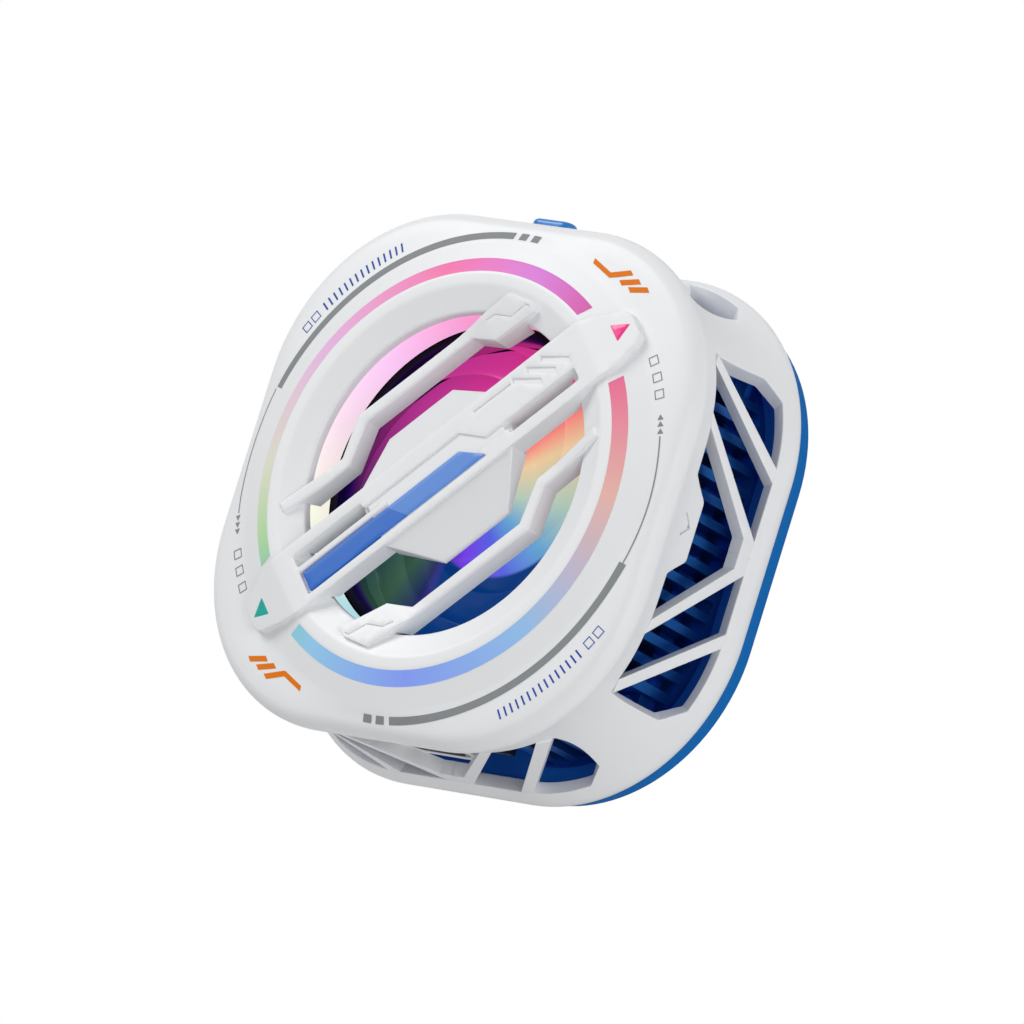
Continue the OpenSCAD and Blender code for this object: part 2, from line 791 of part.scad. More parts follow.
// Fan wheel: a hub cup with a shaft boss and a ring of swept blades
module impeller() {
    color("midnightblue") difference() {
        union() {
            rotate_extrude() polygon([
                [0, rotor_top], [hub_r - 0.8, rotor_top], [hub_r, rotor_top - 0.8], [hub_r, hub_z],
                [hub_r - hub_wall, hub_z], [hub_r - hub_wall, rotor_top - hub_top_t],
                [shaft_r + 1.4, rotor_top - hub_top_t], [shaft_r + 1.4, tube_top + 0.5],
                [0, tube_top + 0.5]]);
            for (k = [0 : blades - 1])
                rotate(k * 360 / blades) blade();
        }
        post(shaft_r, tube_top, shaft_top - tube_top);
    }
}

// Steel ring inside the hub that carries the rotor magnet
module rotor_yoke() {
    color(steel) ring(hub_r - hub_wall, yoke_in, hub_z + 0.3, rotor_top - hub_top_t - hub_z - 0.3);
}

// Ring magnet of the motor
module rotor_magnet() {
    color("black") ring(yoke_in, yoke_in - magnet_t, hub_z + 0.3, stator_t + 2);
}

// Shaft pressed into the hub boss
module fan_shaft() {
    color(steel) post(shaft_r, shaft_z, shaft_top - shaft_z);
}

// Sleeve bearing in the motor's tube
module fan_bearing() {
    color("peru") ring(bearing_r, shaft_r + run_fit, bearing_z, tube_top - bearing_z - 0.2);
}

// Low-friction disc under the end of the shaft
module thrust_washer() {
    color("linen") post(bearing_r, washer_z, washer_t);
}

// Motor laminations with their poles
module stator_core() {
    color("gray") translate([0, 0, stator_z]) linear_extrude(stator_t) difference() {
        union() {
            circle(tube_r + core_t);
            for (k = [0 : teeth - 1])
                rotate(k * 360 / teeth) {
                    translate([0, -tooth_w / 2]) square([stator_r - 0.4, tooth_w]);
                    intersection() {
                        difference() {
                            circle(stator_r);
                            circle(stator_r - shoe_t);
                        }
                        polygon([[0, 0], [stator_r + 1, -2.6], [stator_r + 1, 2.6]]);
                    }
                }
        }
        circle(tube_r);
    }
}

// Copper windings, one round each pole
module stator_coils() {
    color("chocolate") for (k = [0 : teeth - 1])
        rotate(k * 360 / teeth) translate([tube_r + core_t + 0.1, 0, stator_z + stator_t / 2]) difference() {
            translate([0, -coil_w / 2, -stator_t / 2 - 0.6])
                cube([stator_r - shoe_t - tube_r - core_t - 0.5, coil_w, stator_t + 1.2]);
            translate([-1, -tooth_w / 2, -stator_t / 2]) cube([stator_r, tooth_w, stator_t]);
        }
}

// Plan of the fan frame: a ring joined to the middle by arms
module fan_base_plan() {
    difference() {
        union() {
            difference() {
                circle(shroud_r);
                circle(shroud_r - base_ring_w);
            }
            circle(stator_r);
            for (k = [0 : fan_arms - 1])
                rotate(k * 360 / fan_arms) translate([0, -arm_w / 2]) square([fan_screw_at, arm_w]);
        }
        circle(tube_r);
        for (k = [0 : fan_arms - 1])
            rotate(k * 360 / fan_arms) translate([fan_screw_at, 0]) circle(fan_screw_r);
    }
}

// Fan frame on the heatsink, with the tube that holds the bearing and the stator
module fan_base() {
    color("dimgray") {
        translate([0, 0, sink_top]) linear_extrude(fan_base_t) fan_base_plan();
        rotate_extrude() polygon([
            [0, sink_top], [tube_r + 0.8, sink_top], [tube_r + 0.8, stator_z], [tube_r, stator_z],
            [tube_r, tube_top], [bearing_r, tube_top], [bearing_r, washer_z], [0, washer_z]]);
    }
}

// Screws that hold the fan frame down on the heatsink
module fan_screws() {
    color(steel) for (k = [0 : fan_arms - 1])
        rotate(k * 360 / fan_arms) translate([fan_screw_at, 0, 0]) difference() {
            union() {
                post(fan_screw_r, sink_top - fan_screw_bite, fan_base_t + fan_screw_bite + eps);
                post(fan_screw_r * 1.8, fan_base_top, 0.9);
            }
            cross_recess(fan_base_top + 0.9, fan_screw_r);
        }
}

// Cross recess in a screw head whose top is at z
module cross_recess(z, w) {
    for (a = [0, 90])
        translate([0, 0, z]) rotate(a) cube([2 * w, w * 0.35, 1], center = true);
}

// Plan of the heatsink's base: clear of the corner posts and of the power board's bay
module sink_plan() {
    difference() {
        rounded_square(sink_half, sink_corner);
        each_corner(post_at) circle(post_r + 0.5);
        translate([-bay_half, -far - pcb_in + 0.3]) square([2 * bay_half, far]);
    }
}

// Plan of the fins: straight rows that stand square to each side
module fin_plan() {
    difference() {
        intersection() {
            sink_plan();
            each_side() for (k = [-fins_n : fins_n])
                translate([abs(k) * fin_pitch + 1.2, k * fin_pitch - fin_t / 2]) square([far, fin_t]);
        }
        circle(sink_bore_r);
        each_corner(sink_screw_at) circle(screw_head_r + 0.4);
        translate([-bay_half - fin_t, -far]) square([2 * (bay_half + fin_t), far - pcb_in + 0.3]);
    }
}

// The part of a plan outside the stack, where the heatsink steps down behind the vents
module skirt_plan() {
    difference() {
        children();
        square(2 * skirt_in, center = true);
    }
}

// Aluminium heatsink under and round the fan, its fins longer behind the vents
module heatsink() {
    color("steelblue") difference() {
        union() {
            translate([0, 0, skirt_z]) linear_extrude(skirt_t) skirt_plan() sink_plan();
            translate([0, 0, skirt_z + skirt_t - eps]) linear_extrude(sink_top - skirt_z - skirt_t + 2 * eps)
                skirt_plan() fin_plan();
            translate([0, 0, sink_z]) linear_extrude(sink_t) intersection() {
                sink_plan();
                square(2 * (skirt_in + skirt_lap), center = true);
            }
            translate([0, 0, sink_top - eps]) linear_extrude(fin_top - sink_top + eps) fin_plan();
        }
        each_corner(sink_screw_at) post(screw_r + screw_gap, 0, far);
        for (k = [0 : fan_arms - 1])
            rotate(k * 360 / fan_arms) translate([fan_screw_at, 0, sink_top - fan_screw_bite])
                cylinder(r = fan_screw_r, h = far);
    }
}

// Screws that clamp the heatsink, the module and the cold plate together
module heatsink_screws() {
    color(steel) each_corner(sink_screw_at) difference() {
        union() {
            post(screw_r, sink_z - sink_bite, sink_t + sink_bite + eps);
            post(screw_head_r, sink_top, screw_head_t);
        }
        cross_recess(sink_top + screw_head_t, screw_r);
    }
}

// Square plate of the module from z up
module tec_plate(z, t) {
    translate([-tec_w / 2, -tec_w / 2, z]) cube([tec_w, tec_w, t]);
}

// Thermal pad between the module and the heatsink
module hot_pad() {
    color("lightpink") tec_plate(tec_z + tec_t, paste_t);
}

// Hot ceramic plate of the module
module peltier_hot_plate() {
    color("white") tec_plate(tec_z + tec_t - ceramic_t, ceramic_t);
}

// Semiconductor legs of the module
module peltier_pellets() {
    step = (tec_w - 2) / pellets_n;
    color("darkslategray") for (i = [0 : pellets_n - 1], j = [0 : pellets_n - 1])
        translate([(i + 0.5) * step - tec_w / 2 + 1, (j + 0.5) * step - tec_w / 2 + 1, tec_z + tec_t / 2])
            cube([pellet_w, pellet_w, tec_t - 2 * ceramic_t], center = true);
}

// Cold ceramic plate of the module
module peltier_cold_plate() {
    color("white") tec_plate(tec_z, ceramic_t);
}

// Foam frame that keeps warm air away from the module and the cold plate
module insulation_frame() {
    color("dimgray") difference() {
        translate([0, 0, cold_top]) linear_extrude(sink_z - cold_top) difference() {
            square(2 * foam_half, center = true);
            square(tec_w + 4 * gap, center = true);
            each_corner(sink_screw_at) circle(boss_r + gap);
        }
        for (x = [-lead_x, lead_x])
            translate([x, 0, tec_z + tec_t / 2]) rotate([90, 0, 0]) cylinder(r = lead_r + gap, h = far);
    }
}

// Thermal pad between the cold plate and the module
module cold_pad() {
    color("lightpink") tec_plate(cold_top, paste_t);
}

// Metal disc that cools the phone, with a step that seats it in the base plate
module cold_plate() {
    color("lightgray") {
        post(cold_r, 0, base_top + eps);
        post(cold_r + cold_step, base_top, cold_top - base_top);
    }
}

// Blue base: screw posts, board posts, and a channel for the magnets
module base_plate() {
    color("mediumblue") difference() {
        union() {
            slab(cap_half - base_in, cap_corner_r - base_in, base_z, base_t);
            each_corner(post_at) post(post_r, base_top - eps, board_z - base_top + eps);
            each_corner(sink_screw_at) post(boss_r, base_top - eps, sink_z - base_top + eps);
            for (x = [-pcb_post_x, pcb_post_x])
                translate([x, -pcb_post_y, 0]) {
                    post(1.4, base_top - eps, pcb_z - base_top + eps);
                    post(pcb_pin_r, pcb_z - eps, board_t + 0.5);
                }
        }
        post(cold_r + gap, 0, base_top + eps);
        ring(magnet_r + gap, magnet_r - magnet_w - gap, 0, base_z + channel_t);
        each_corner(post_at) {
            post(screw_head_r + screw_gap, 0, base_z + screw_head_t);
            post(screw_r + screw_gap, 0, far);
        }
        each_corner(sink_screw_at) post(screw_r, sink_z - sink_bite, far);
    }
}

// Ring of magnets that holds the cooler on a phone
module magnets() {
    color("dimgray") for (k = [0 : magnets_n - 1])
        rotate(k * 360 / magnets_n) translate([0, 0, base_z]) linear_extrude(channel_t - shield_t)
            intersection() {
                difference() {
                    circle(magnet_r);
                    circle(magnet_r - magnet_w);
                }
                polygon([[0, 0], for (m = [-1, 1]) far * [cos(magnet_half), m * sin(magnet_half)]]);
            }
}

// Thin steel ring that backs the magnets
module magnet_shield() {
    color(steel) ring(magnet_r, magnet_r - magnet_w, base_z + channel_t - shield_t, shield_t);
}

// Soft ring that rests on the phone and covers the magnets
module contact_pad() {
    color("darkgray") ring(pad_r, cold_r + cold_step, 0, pad_out);
}

// Power board under the bottom vent
module main_board() {
    color(board_green) translate([0, 0, pcb_z]) linear_extrude(board_t) difference() {
        translate([-pcb_half, -pcb_out]) square([2 * pcb_half, pcb_out - pcb_in]);
        for (x = [-pcb_post_x, pcb_post_x])
            translate([x, -pcb_post_y]) circle(pcb_pin_r + gap / 2);
    }
}

// Power chips on the board
module board_chips() {
    color("black") for (m = [-1, 1])
        translate([m * (socket_w / 2 + 0.6 + chip_w / 2), -pcb_in - 0.4 - chip_w / 2, pcb_top + 0.45])
            cube([chip_w, chip_w, 0.9], center = true);
}

// Metal shell of the power socket
module usb_socket() {
    color(steel) rotate(-90) difference() {
        on_side(socket_face - socket_l, socket_l) socket_outline(0);
        on_side(socket_face - socket_l + 0.6, socket_l) socket_outline(-shell_t);
    }
}

// Contact blade in the power socket
module usb_blade() {
    color("black") rotate(-90) on_side(socket_face - socket_l + 0.6, socket_l - 1.4)
        translate([0, socket_z]) square([socket_w - 2.3, 0.7], center = true);
}

// Flat cable from the power board up to the light board
module flat_cable() {
    y = pcb_out - 0.3;
    color("black") translate([-pcb_half + 0.4, 0, 0]) rotate([90, 0, 90]) linear_extrude(cable_w) {
        translate([-y, pcb_top]) square([cable_t, board_z - pcb_top]);
        translate([-y, pcb_top]) square([1.2, cable_t]);
        translate([-y, board_z - cable_t]) square([3.4, cable_t]);
    }
}

// Two leads from the module to the power board
module peltier_leads() {
    color("firebrick") for (x = [-lead_x, lead_x])
        translate([x, 0, tec_z + tec_t / 2]) {
            translate([0, -tec_w / 2 + 0.6, 0]) rotate([90, 0, 0]) cylinder(r = lead_r, h = lead_end - tec_w / 2 + 0.6);
            translate([0, -lead_end, 0]) sphere(lead_r);
            translate([0, -lead_end, 0]) cylinder(r = lead_r, h = pcb_z - tec_z - tec_t / 2);
        }
}

// Temperature bead on the cold plate, with its leads to the power board
module thermistor() {
    color("black") {
        translate([0, -bead_y, cold_top + bead_r]) rotate([0, 90, 0])
            cylinder(r = bead_r, h = 2.4, center = true);
        for (x = [-0.7, 0.7])
            translate([x, 0, cold_top + bead_r]) {
                translate([0, -bead_y, 0]) rotate([90, 0, 0]) cylinder(r = wire_r, h = lead_end - bead_y);
                translate([0, -lead_end, 0]) sphere(wire_r);
                translate([0, -lead_end, 0]) cylinder(r = wire_r, h = pcb_z - cold_top - bead_r);
            }
    }
}

// Long screws from the back through the corner posts into the housing
module housing_screws() {
    color(steel) each_corner(post_at) difference() {
        union() {
            post(screw_head_r, base_z, screw_head_t);
            post(screw_r, base_z + screw_head_t - eps, board_top + screw_bite - 0.3 - base_z - screw_head_t);
        }
        cross_recess(base_z, screw_r);
    }
}

housing();
cross_bar();
guard_ribs();
name_plate();
bar_lenses();
light_ring();
inner_light_ring();
led_board();
leds();
tact_switch();
switch_plunger();
power_button();
fan_shroud();
impeller();
rotor_yoke();
rotor_magnet();
fan_shaft();
fan_bearing();
thrust_washer();
stator_core();
stator_coils();
fan_base();
fan_screws();
heatsink();
heatsink_screws();
hot_pad();
peltier_hot_plate();
peltier_pellets();
peltier_cold_plate();
insulation_frame();
cold_pad();
cold_plate();
base_plate();
magnets();
magnet_shield();
contact_pad();
main_board();
board_chips();
usb_socket();
usb_blade();
flat_cable();
peltier_leads();
thermistor();
housing_screws();
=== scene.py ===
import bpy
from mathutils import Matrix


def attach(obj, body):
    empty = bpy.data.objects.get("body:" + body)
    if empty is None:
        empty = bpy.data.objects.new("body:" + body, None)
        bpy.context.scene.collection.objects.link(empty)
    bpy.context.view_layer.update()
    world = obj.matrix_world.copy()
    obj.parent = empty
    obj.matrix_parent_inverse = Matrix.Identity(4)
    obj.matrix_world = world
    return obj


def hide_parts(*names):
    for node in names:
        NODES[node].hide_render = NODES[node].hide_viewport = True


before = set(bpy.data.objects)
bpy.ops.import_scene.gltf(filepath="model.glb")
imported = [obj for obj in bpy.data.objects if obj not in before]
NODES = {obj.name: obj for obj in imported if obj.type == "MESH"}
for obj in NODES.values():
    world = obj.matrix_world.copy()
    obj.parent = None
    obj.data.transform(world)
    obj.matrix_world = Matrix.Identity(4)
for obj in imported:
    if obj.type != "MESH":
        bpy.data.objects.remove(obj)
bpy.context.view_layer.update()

from types import SimpleNamespace

import bpy
import numpy as np
from bpy.props import FloatProperty, FloatVectorProperty, IntProperty, PointerProperty
from mathutils import Matrix, Vector
from mathutils.geometry import delaunay_2d_cdt

bl_info = {
    "name": "Phone cooling fan",
    "version": (1, 0, 0),
    "blender": (4, 5, 0),
    "location": "View3D > Sidebar > Cooler",
    "description": "Builds the looks of a magnetic phone cooling fan around its packed CAD parts",
    "category": "Object",
}

MM = 0.001
DIAG = np.radians(45)
QUARTER = np.pi / 2
# Points handled at a time, to keep the tables of distances small
CHUNK = 2000
# Angle between faces above which an edge is sharp
SHARP = np.radians(35)
# Where the cap's edge turns into the shoulder
CAP_TILT = np.radians(72)
# Heights of a vent's sill and of its upper edge, and the depth of shallow grooves, in millimetres
SILL_Z, VENT_TOP_Z, GROOVE = 6.5, 19.2, 0.6
# Samples on the flange's arc, on the waist and on the cap's edge
ARC_STEPS = 10, 80, 16
# The bar folds down this far inside the lip, over twice the second length, in millimetres
FOLD_IN, FOLD_HALF = 0.6, 0.15
# A film in a groove lies a hair above the ends of the groove's walls
FILM = 0.01 - GROOVE
# Slant of the fan's colours with depth, so that they line up from the photo's angle
LEAN = (0.786, -0.247, 0)
# Share of a lit piece's light that falls on other pieces
SPILL = 0.35


# Properties

def length(name, mm, text):
    """Length property whose default is given in millimetres."""
    return FloatProperty(name=name, description=text, default=mm * MM, precision=5, unit="LENGTH")


def colour(name, rgb, text):
    """Colour property given as linear red, green and blue."""
    return FloatVectorProperty(name=name, description=text, default=rgb, size=3, min=0, max=1, subtype="COLOR")


class CoolerSizes(bpy.types.PropertyGroup):
    """Sizes of the visual pieces, after those of the CAD source."""
    cap_half: length("Half width", 33, "Half the width of the cap")
    core: length("Core", 10, "Half the straight run between two corners")
    cap_z: length("Cap height", 23.3, "Height of the cap's widest line")
    cap_edge_r: length("Cap edge", 2.2, "Radius of the cap's edge")
    flange_out: length("Flange", 0.6, "How far the flange stands out of the cap")
    flange_edge_r: length("Flange edge", 1.6, "Radius of the flange's edge")
    waist_r: length("Waist", 20, "Radius of the waist's hollow")
    base_top: length("Base top", 2.8, "Height of the base plate's upper face")
    wall: length("Wall", 1.9, "Depth of the vent walls")
    soft: length("Soft edge", 0.14, "Radius of moulded edges")
    dome_r: length("Dome", 29.5, "Outer radius of the dome")
    dome_z: length("Dome height", 26.2, "Height of the dome's outer circle")
    lip_r: length("Lip", 25.2, "Outer radius of the lip")
    lip_z: length("Lip height", 27.8, "Height of the lip")
    dish_r: length("Dish", 23.7, "Outer radius of the dish")
    inlet_r: length("Inlet", 20.5, "Radius of the air inlet")
    inlet_z: length("Inlet height", 26.65, "Height of the dish's inner edge")
    ceiling_z: length("Ceiling", 25.5, "Height of the dish's underside")
    light_out: length("Light ring", 27.3, "Outer radius of the light ring")
    bridge_half: length("Bridge", 5.5, "Half the gap between the two light guides")
    bar_half: length("Bar", 4.4, "Half width of the diagonal bar")
    bar_top: length("Bar top", 28.4, "Height of the bar")
    bar_bottom: length("Bar bottom", 25.7, "Underside of the bar")
    tab_end: length("Tab end", 30.9, "Distance from the middle to the tip of a tab")
    rib_top: length("Rib top", 26.9, "Height of the guard ribs")
    rib_bottom: length("Rib bottom", 24.2, "Underside of the guard ribs")
    hub_r: length("Hub", 9.4, "Radius of the fan's hub")
    fan_r: length("Fan", 18.8, "Radius of the fan's blades")
    rotor_top: length("Rotor top", 20.7, "Height of the fan's hub")
    blade_h: length("Blade height", 6.2, "Height of the blades")
    blade_t: length("Blade", 0.8, "Thickness of a blade")
    button_z: length("Button height", 20.4, "Height of the button's middle")
    button_face: length("Button face", 34.4, "Distance from the middle to the button's face")
    button_w: length("Button width", 6.2, "Width of the button")
    button_h: length("Button thickness", 2.6, "Thickness of the button")
    socket_z: length("Socket height", 12.23, "Height of the power socket's middle")


class CoolerLooks(bpy.types.PropertyGroup):
    """Colours of the visual pieces, and the count and sweep of the blades."""
    shell: colour("Shell", (0.878, 0.89, 0.91), "White moulded shell")
    bar: colour("Bar", (0.859, 0.871, 0.89), "Bar and ribs")
    plate: colour("Plate", (0.025, 0.16, 0.62), "Blue plate")
    button: colour("Button", (0.02, 0.22, 0.62), "Blue push button")
    rim: colour("Rim", (0.006, 0.16, 0.5), "Blue base")
    fins: colour("Fins", (0.014, 0.135, 0.48), "Anodised fins")
    grey: colour("Grey print", (0.27, 0.29, 0.30), "Grey marks on the face")
    ink: colour("Blue print", (0.025, 0.085, 0.42), "Blue marks on the face")
    orange: colour("Orange print", (0.84, 0.2, 0.005), "Orange marks on the face")
    lens_front: colour("Upper lens", (0.75, 0.03, 0.22), "Window at the upper right end of the bar")
    lens_rear: colour("Lower lens", (0.01, 0.33, 0.28), "Window at the lower left end of the bar")
    blades: IntProperty(name="Blades", description="Number of fan blades", default=7, min=3, max=13)
    sweep: FloatProperty(name="Sweep", description="How far a blade runs round from hub to tip",
                         default=np.radians(104), unit="ROTATION")
    chord: FloatProperty(name="Chord", description="How far a blade runs round from its front to its rear edge",
                         default=np.radians(120), unit="ROTATION")


def sizes(context):
    """The sizes in millimetres."""
    g = context.scene.cooler_sizes
    return SimpleNamespace(**{k: getattr(g, k) / MM for k in CoolerSizes.__annotations__})


# Plane loops

def rounded(points, radius, step=0.5):
    """Closed polygon (counter-clockwise) with rounded corners: straight runs sampled every step, each corner an arc
    of its radius, or a plain corner for a radius of 0. Returns the samples and their outward normals, lengthened at
    a plain corner so that a loop moved along them keeps its distance."""
    p = np.asarray(points, float)
    n = len(p)
    r = np.broadcast_to(np.asarray(radius, float), (n,))
    arcs = []
    for i in range(n):
        a, b, c = p[i - 1], p[i], p[(i + 1) % n]
        u, v = (b - a) / np.linalg.norm(b - a), (c - b) / np.linalg.norm(c - b)
        turn = np.arctan2(u[0] * v[1] - u[1] * v[0], u @ v)
        side = np.sign(turn) or 1.0
        cut = r[i] * np.tan(abs(turn) / 2)
        start = b - u * cut
        centre = start + side * r[i] * np.array([-u[1], u[0]])
        count = max(2, int(abs(turn) / 0.26) + 1) if r[i] > 0 else 1
        t = np.linspace(0, turn, count) if r[i] > 0 else np.array([turn / 2])
        n0 = np.array([u[1], -u[0]])
        normal = np.stack([n0[0] * np.cos(t) - n0[1] * np.sin(t), n0[0] * np.sin(t) + n0[1] * np.cos(t)], -1)
        if r[i] > 0:
            arcs.append((centre + side * r[i] * normal, normal))
        else:
            arcs.append((b[None], normal / np.cos(turn / 2)))
    out, nor = [], []
    for i in range(n):
        q, m = arcs[i]
        out.append(q)
        nor.append(m)
        a, b = q[-1], arcs[(i + 1) % n][0][0]
        k = int(np.linalg.norm(b - a) / step)
        if k > 1:
            t = np.arange(1, k)[:, None] / k
            out.append(a + (b - a) * t)
            nor.append(np.repeat(m[-1:], k - 1, 0))
    return np.concatenate(out), np.concatenate(nor)


def stroke(points, half):
    """Loop round an open line, half a width to both sides, counter-clockwise."""
    p = np.asarray(points, float)
    d = np.diff(p, axis=0)
    n = np.stack([-d[:, 1], d[:, 0]], -1) / np.linalg.norm(d, axis=1, keepdims=True)
    a, b = np.concatenate([n[:1], n]), np.concatenate([n, n[-1:]])
    m = half * (a + b) / (1 + (a * b).sum(1, keepdims=True))
    return np.concatenate([p - m, (p + m)[::-1]])


def turned(points, angle):
    """Points turned about the middle by an angle in radians."""
    c, s = np.cos(angle), np.sin(angle)
    p = np.asarray(points, float)
    return np.stack([p[..., 0] * c - p[..., 1] * s, p[..., 0] * s + p[..., 1] * c], -1)


def box_loop(w, h, z=0.0):
    """Corners of a rectangle of half width w and half height h about the height z, counter-clockwise."""
    return [(-w, z - h), (w, z - h), (w, z + h), (-w, z + h)]


def half_turned(points):
    """Points turned by half a turn about the middle."""
    return [(-a, -b) for a, b in points]


def flat(value):
    """Function of the plan with one value everywhere."""
    return lambda a, b: np.full(len(a), value)


def inside(q, loops):
    """True where a point lies in an odd number of the loops."""
    hit = np.zeros(len(q), bool)
    for p in loops:
        a, b = p, np.roll(p, -1, 0)
        for k in range(0, len(q), CHUNK):
            x, y = q[k:k + CHUNK, :1], q[k:k + CHUNK, 1:]
            cross = ((a[:, 1] > y) != (b[:, 1] > y))
            with np.errstate(divide="ignore", invalid="ignore"):
                xs = a[:, 0] + (y - a[:, 1]) * (b[:, 0] - a[:, 0]) / (b[:, 1] - a[:, 1])
            hit[k:k + CHUNK] ^= (cross & (x < xs)).sum(1) % 2 == 1
    return hit


def normals(p):
    """Outward normals of a counter-clockwise loop, from the neighbours of each point."""
    t = np.roll(p, -1, 0) - np.roll(p, 1, 0)
    n = np.stack([t[:, 1], -t[:, 0]], -1)
    return n / np.linalg.norm(n, axis=1, keepdims=True)


def triangles(loops, cell, extra=()):
    """Even triangles over the area that the loops bound: the loops' own points, the extra points, then a staggered
    grid of the cell size kept clear of them. Returns the points and the triangles, counter-clockwise."""
    edge = np.concatenate(loops)
    lo, hi = edge.min(0), edge.max(0)
    xs = np.arange(lo[0] + cell / 2, hi[0], cell)
    ys = np.arange(lo[1] + cell / 2, hi[1], cell * 0.87)
    g = np.stack(np.meshgrid(xs, ys), -1)
    g[1::2, :, 0] += cell / 2
    g = g.reshape(-1, 2)
    if len(g):
        g = g[inside(g, loops)]
    fixed = np.concatenate([edge, np.reshape(extra, (-1, 2))])
    near = np.zeros(len(g), bool)
    for k in range(0, len(g), CHUNK):
        d = ((g[k:k + CHUNK, None] - fixed[None]) ** 2).sum(-1)
        near[k:k + CHUNK] = d.min(1) < (0.55 * cell) ** 2
    pts = np.concatenate([fixed, g[~near]]) if len(g) else fixed
    ties, at = [], 0
    for p in loops:
        ties += [(at + i, at + (i + 1) % len(p)) for i in range(len(p))]
        at += len(p)
    _, _, faces, origin, _, _ = delaunay_2d_cdt([Vector(q) for q in pts], ties, [], 0, 1e-7, True)
    back = np.array([o[0] if o else -1 for o in origin])
    tri = back[np.array(faces)]
    tri = tri[(tri >= 0).all(1)]
    tri = tri[inside(pts[tri].mean(1), loops)]
    a, b, c = pts[tri[:, 0]], pts[tri[:, 1]], pts[tri[:, 2]]
    area = (b[:, 0] - a[:, 0]) * (c[:, 1] - a[:, 1]) - (b[:, 1] - a[:, 1]) * (c[:, 0] - a[:, 0])
    tri[area < 0] = tri[area < 0][:, ::-1]
    return pts, tri[np.abs(area) > 1e-12]


# Meshes

def new_object(name, data):
    """New object in the scene."""
    obj = bpy.data.objects.new(name, data)
    bpy.context.scene.collection.objects.link(obj)
    return obj


class Shape:
    """Points and faces gathered from several surfaces, in millimetres, with a material number for each face."""

    def __init__(self):
        self.points, self.faces, self.marks, self.count = [], [], [], 0

    def add(self, points, faces, mark=0):
        """Takes up points, and faces that count from the first of them."""
        p = np.asarray(points, float).reshape(-1, 3)
        self.points.append(p)
        self.faces += [tuple(int(i) + self.count for i in f) for f in faces]
        self.marks += [mark] * len(faces)
        self.count += len(p)

    def grid(self, points, closed=False, flip=False, mark=0):
        """Quads over a grid of points, rows first. closed joins the last column to the first."""
        g = np.asarray(points, float)
        r, c = g.shape[:2]
        i, j = np.meshgrid(np.arange(r - 1), np.arange(c - (not closed)), indexing="ij")
        a, b = (i * c + j).ravel(), (i * c + (j + 1) % c).ravel()
        quads = np.stack([a, a + c, b + c, b] if flip else [a, b, b + c, a + c], -1)
        self.add(g, quads.tolist(), mark)

    def region(self, loops, place, depth, fillet=0.2, cell=1.0, mark=0, floor=True, steps=4, rows=1, extra=()):
        """Solid over a plane area. place(a, b, k) gives the point k below the outer skin over (a, b). Each loop is
        (samples, outward normals, side), side 1 for the outline, -1 for a hole and 0 for a border that other faces
        join. The skin meets the walls in a quarter-round of the fillet radius, and the walls reach to depth(a, b)."""
        tops = [p - s * fillet * n for p, n, s in loops]
        pts, tri = triangles(tops, cell, extra)
        zero = np.zeros(len(pts))
        self.add(place(pts[:, 0], pts[:, 1], zero), tri.tolist(), mark)
        for p, n, s in loops:
            if not s:
                continue
            t = np.linspace(0, QUARTER, steps + 1)
            strip = []
            for k in t:
                q = p - s * fillet * (1 - np.sin(k)) * n
                strip.append(place(q[:, 0], q[:, 1], np.full(len(q), fillet * (1 - np.cos(k)))))
            deep = depth(p[:, 0], p[:, 1])
            for k in range(1, rows + 1):
                strip.append(place(p[:, 0], p[:, 1], fillet + (deep - fillet) * k / rows))
            self.grid(np.stack(strip), True, s > 0, mark)
        if floor:
            base = pts.copy()
            at = 0
            for p, n, s in loops:
                base[at:at + len(p)] = p
                at += len(p)
            low = place(base[:, 0], base[:, 1], depth(base[:, 0], base[:, 1]))
            self.add(low, tri[:, ::-1].tolist(), mark)

    def revolve(self, profile, turns, flip=False):
        """Profile of (radius, height) pairs carried round the Z axis: to given angles, or all round in a count of
        steps."""
        p = np.asarray(profile, float)
        whole = isinstance(turns, int)
        t = np.linspace(0, 2 * np.pi, turns, endpoint=False) if whole else turns
        g = np.stack([p[:, :1] * np.cos(t), p[:, :1] * np.sin(t), np.repeat(p[:, 1:], len(t), 1)], -1)
        self.grid(g, whole, flip)

    def patch(self, loop, place, lift, cell=0.6, mark=0):
        """Thin film over the area inside a loop, lifted off the skin that place(a, b, k) gives."""
        pts, tri = triangles([np.asarray(loop, float)], cell)
        self.add(place(pts[:, 0], pts[:, 1], np.full(len(pts), -lift)), tri.tolist(), mark)

    def build(self, name, materials, body, slot, nodes=(), weld=1e-5):
        """Makes the object at the origin, merges points that meet, hangs it under its body's empty and hides the CAD
        parts that it replaces.
        """
        p = np.concatenate(self.points)
        key = np.round(p / weld).astype(np.int64)
        _, first, same = np.unique(key, axis=0, return_index=True, return_inverse=True)
        same = same.ravel()
        faces, marks = [], []
        for f, m in zip(self.faces, self.marks):
            g = [int(same[i]) for i in f]
            g = [v for i, v in enumerate(g) if v != g[i - 1]]
            if len(set(g)) == len(g) and len(g) > 2:
                faces.append(g)
                marks.append(m)
        mesh = bpy.data.meshes.new(name)
        mesh.from_pydata((p[first] * MM).tolist(), [], faces)
        mesh.validate()
        mesh.update()
        for m in materials:
            mesh.materials.append(m)
        if len(marks) == len(mesh.polygons):
            mesh.polygons.foreach_set("material_index", marks)
        mesh.shade_smooth()
        mesh.set_sharp_from_angle(angle=SHARP)
        obj = new_object(name, mesh)
        obj.modifiers.new("Flat faces", "WEIGHTED_NORMAL").keep_sharp = True
        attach(obj, body)
        if nodes:
            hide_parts(*nodes)


# Materials

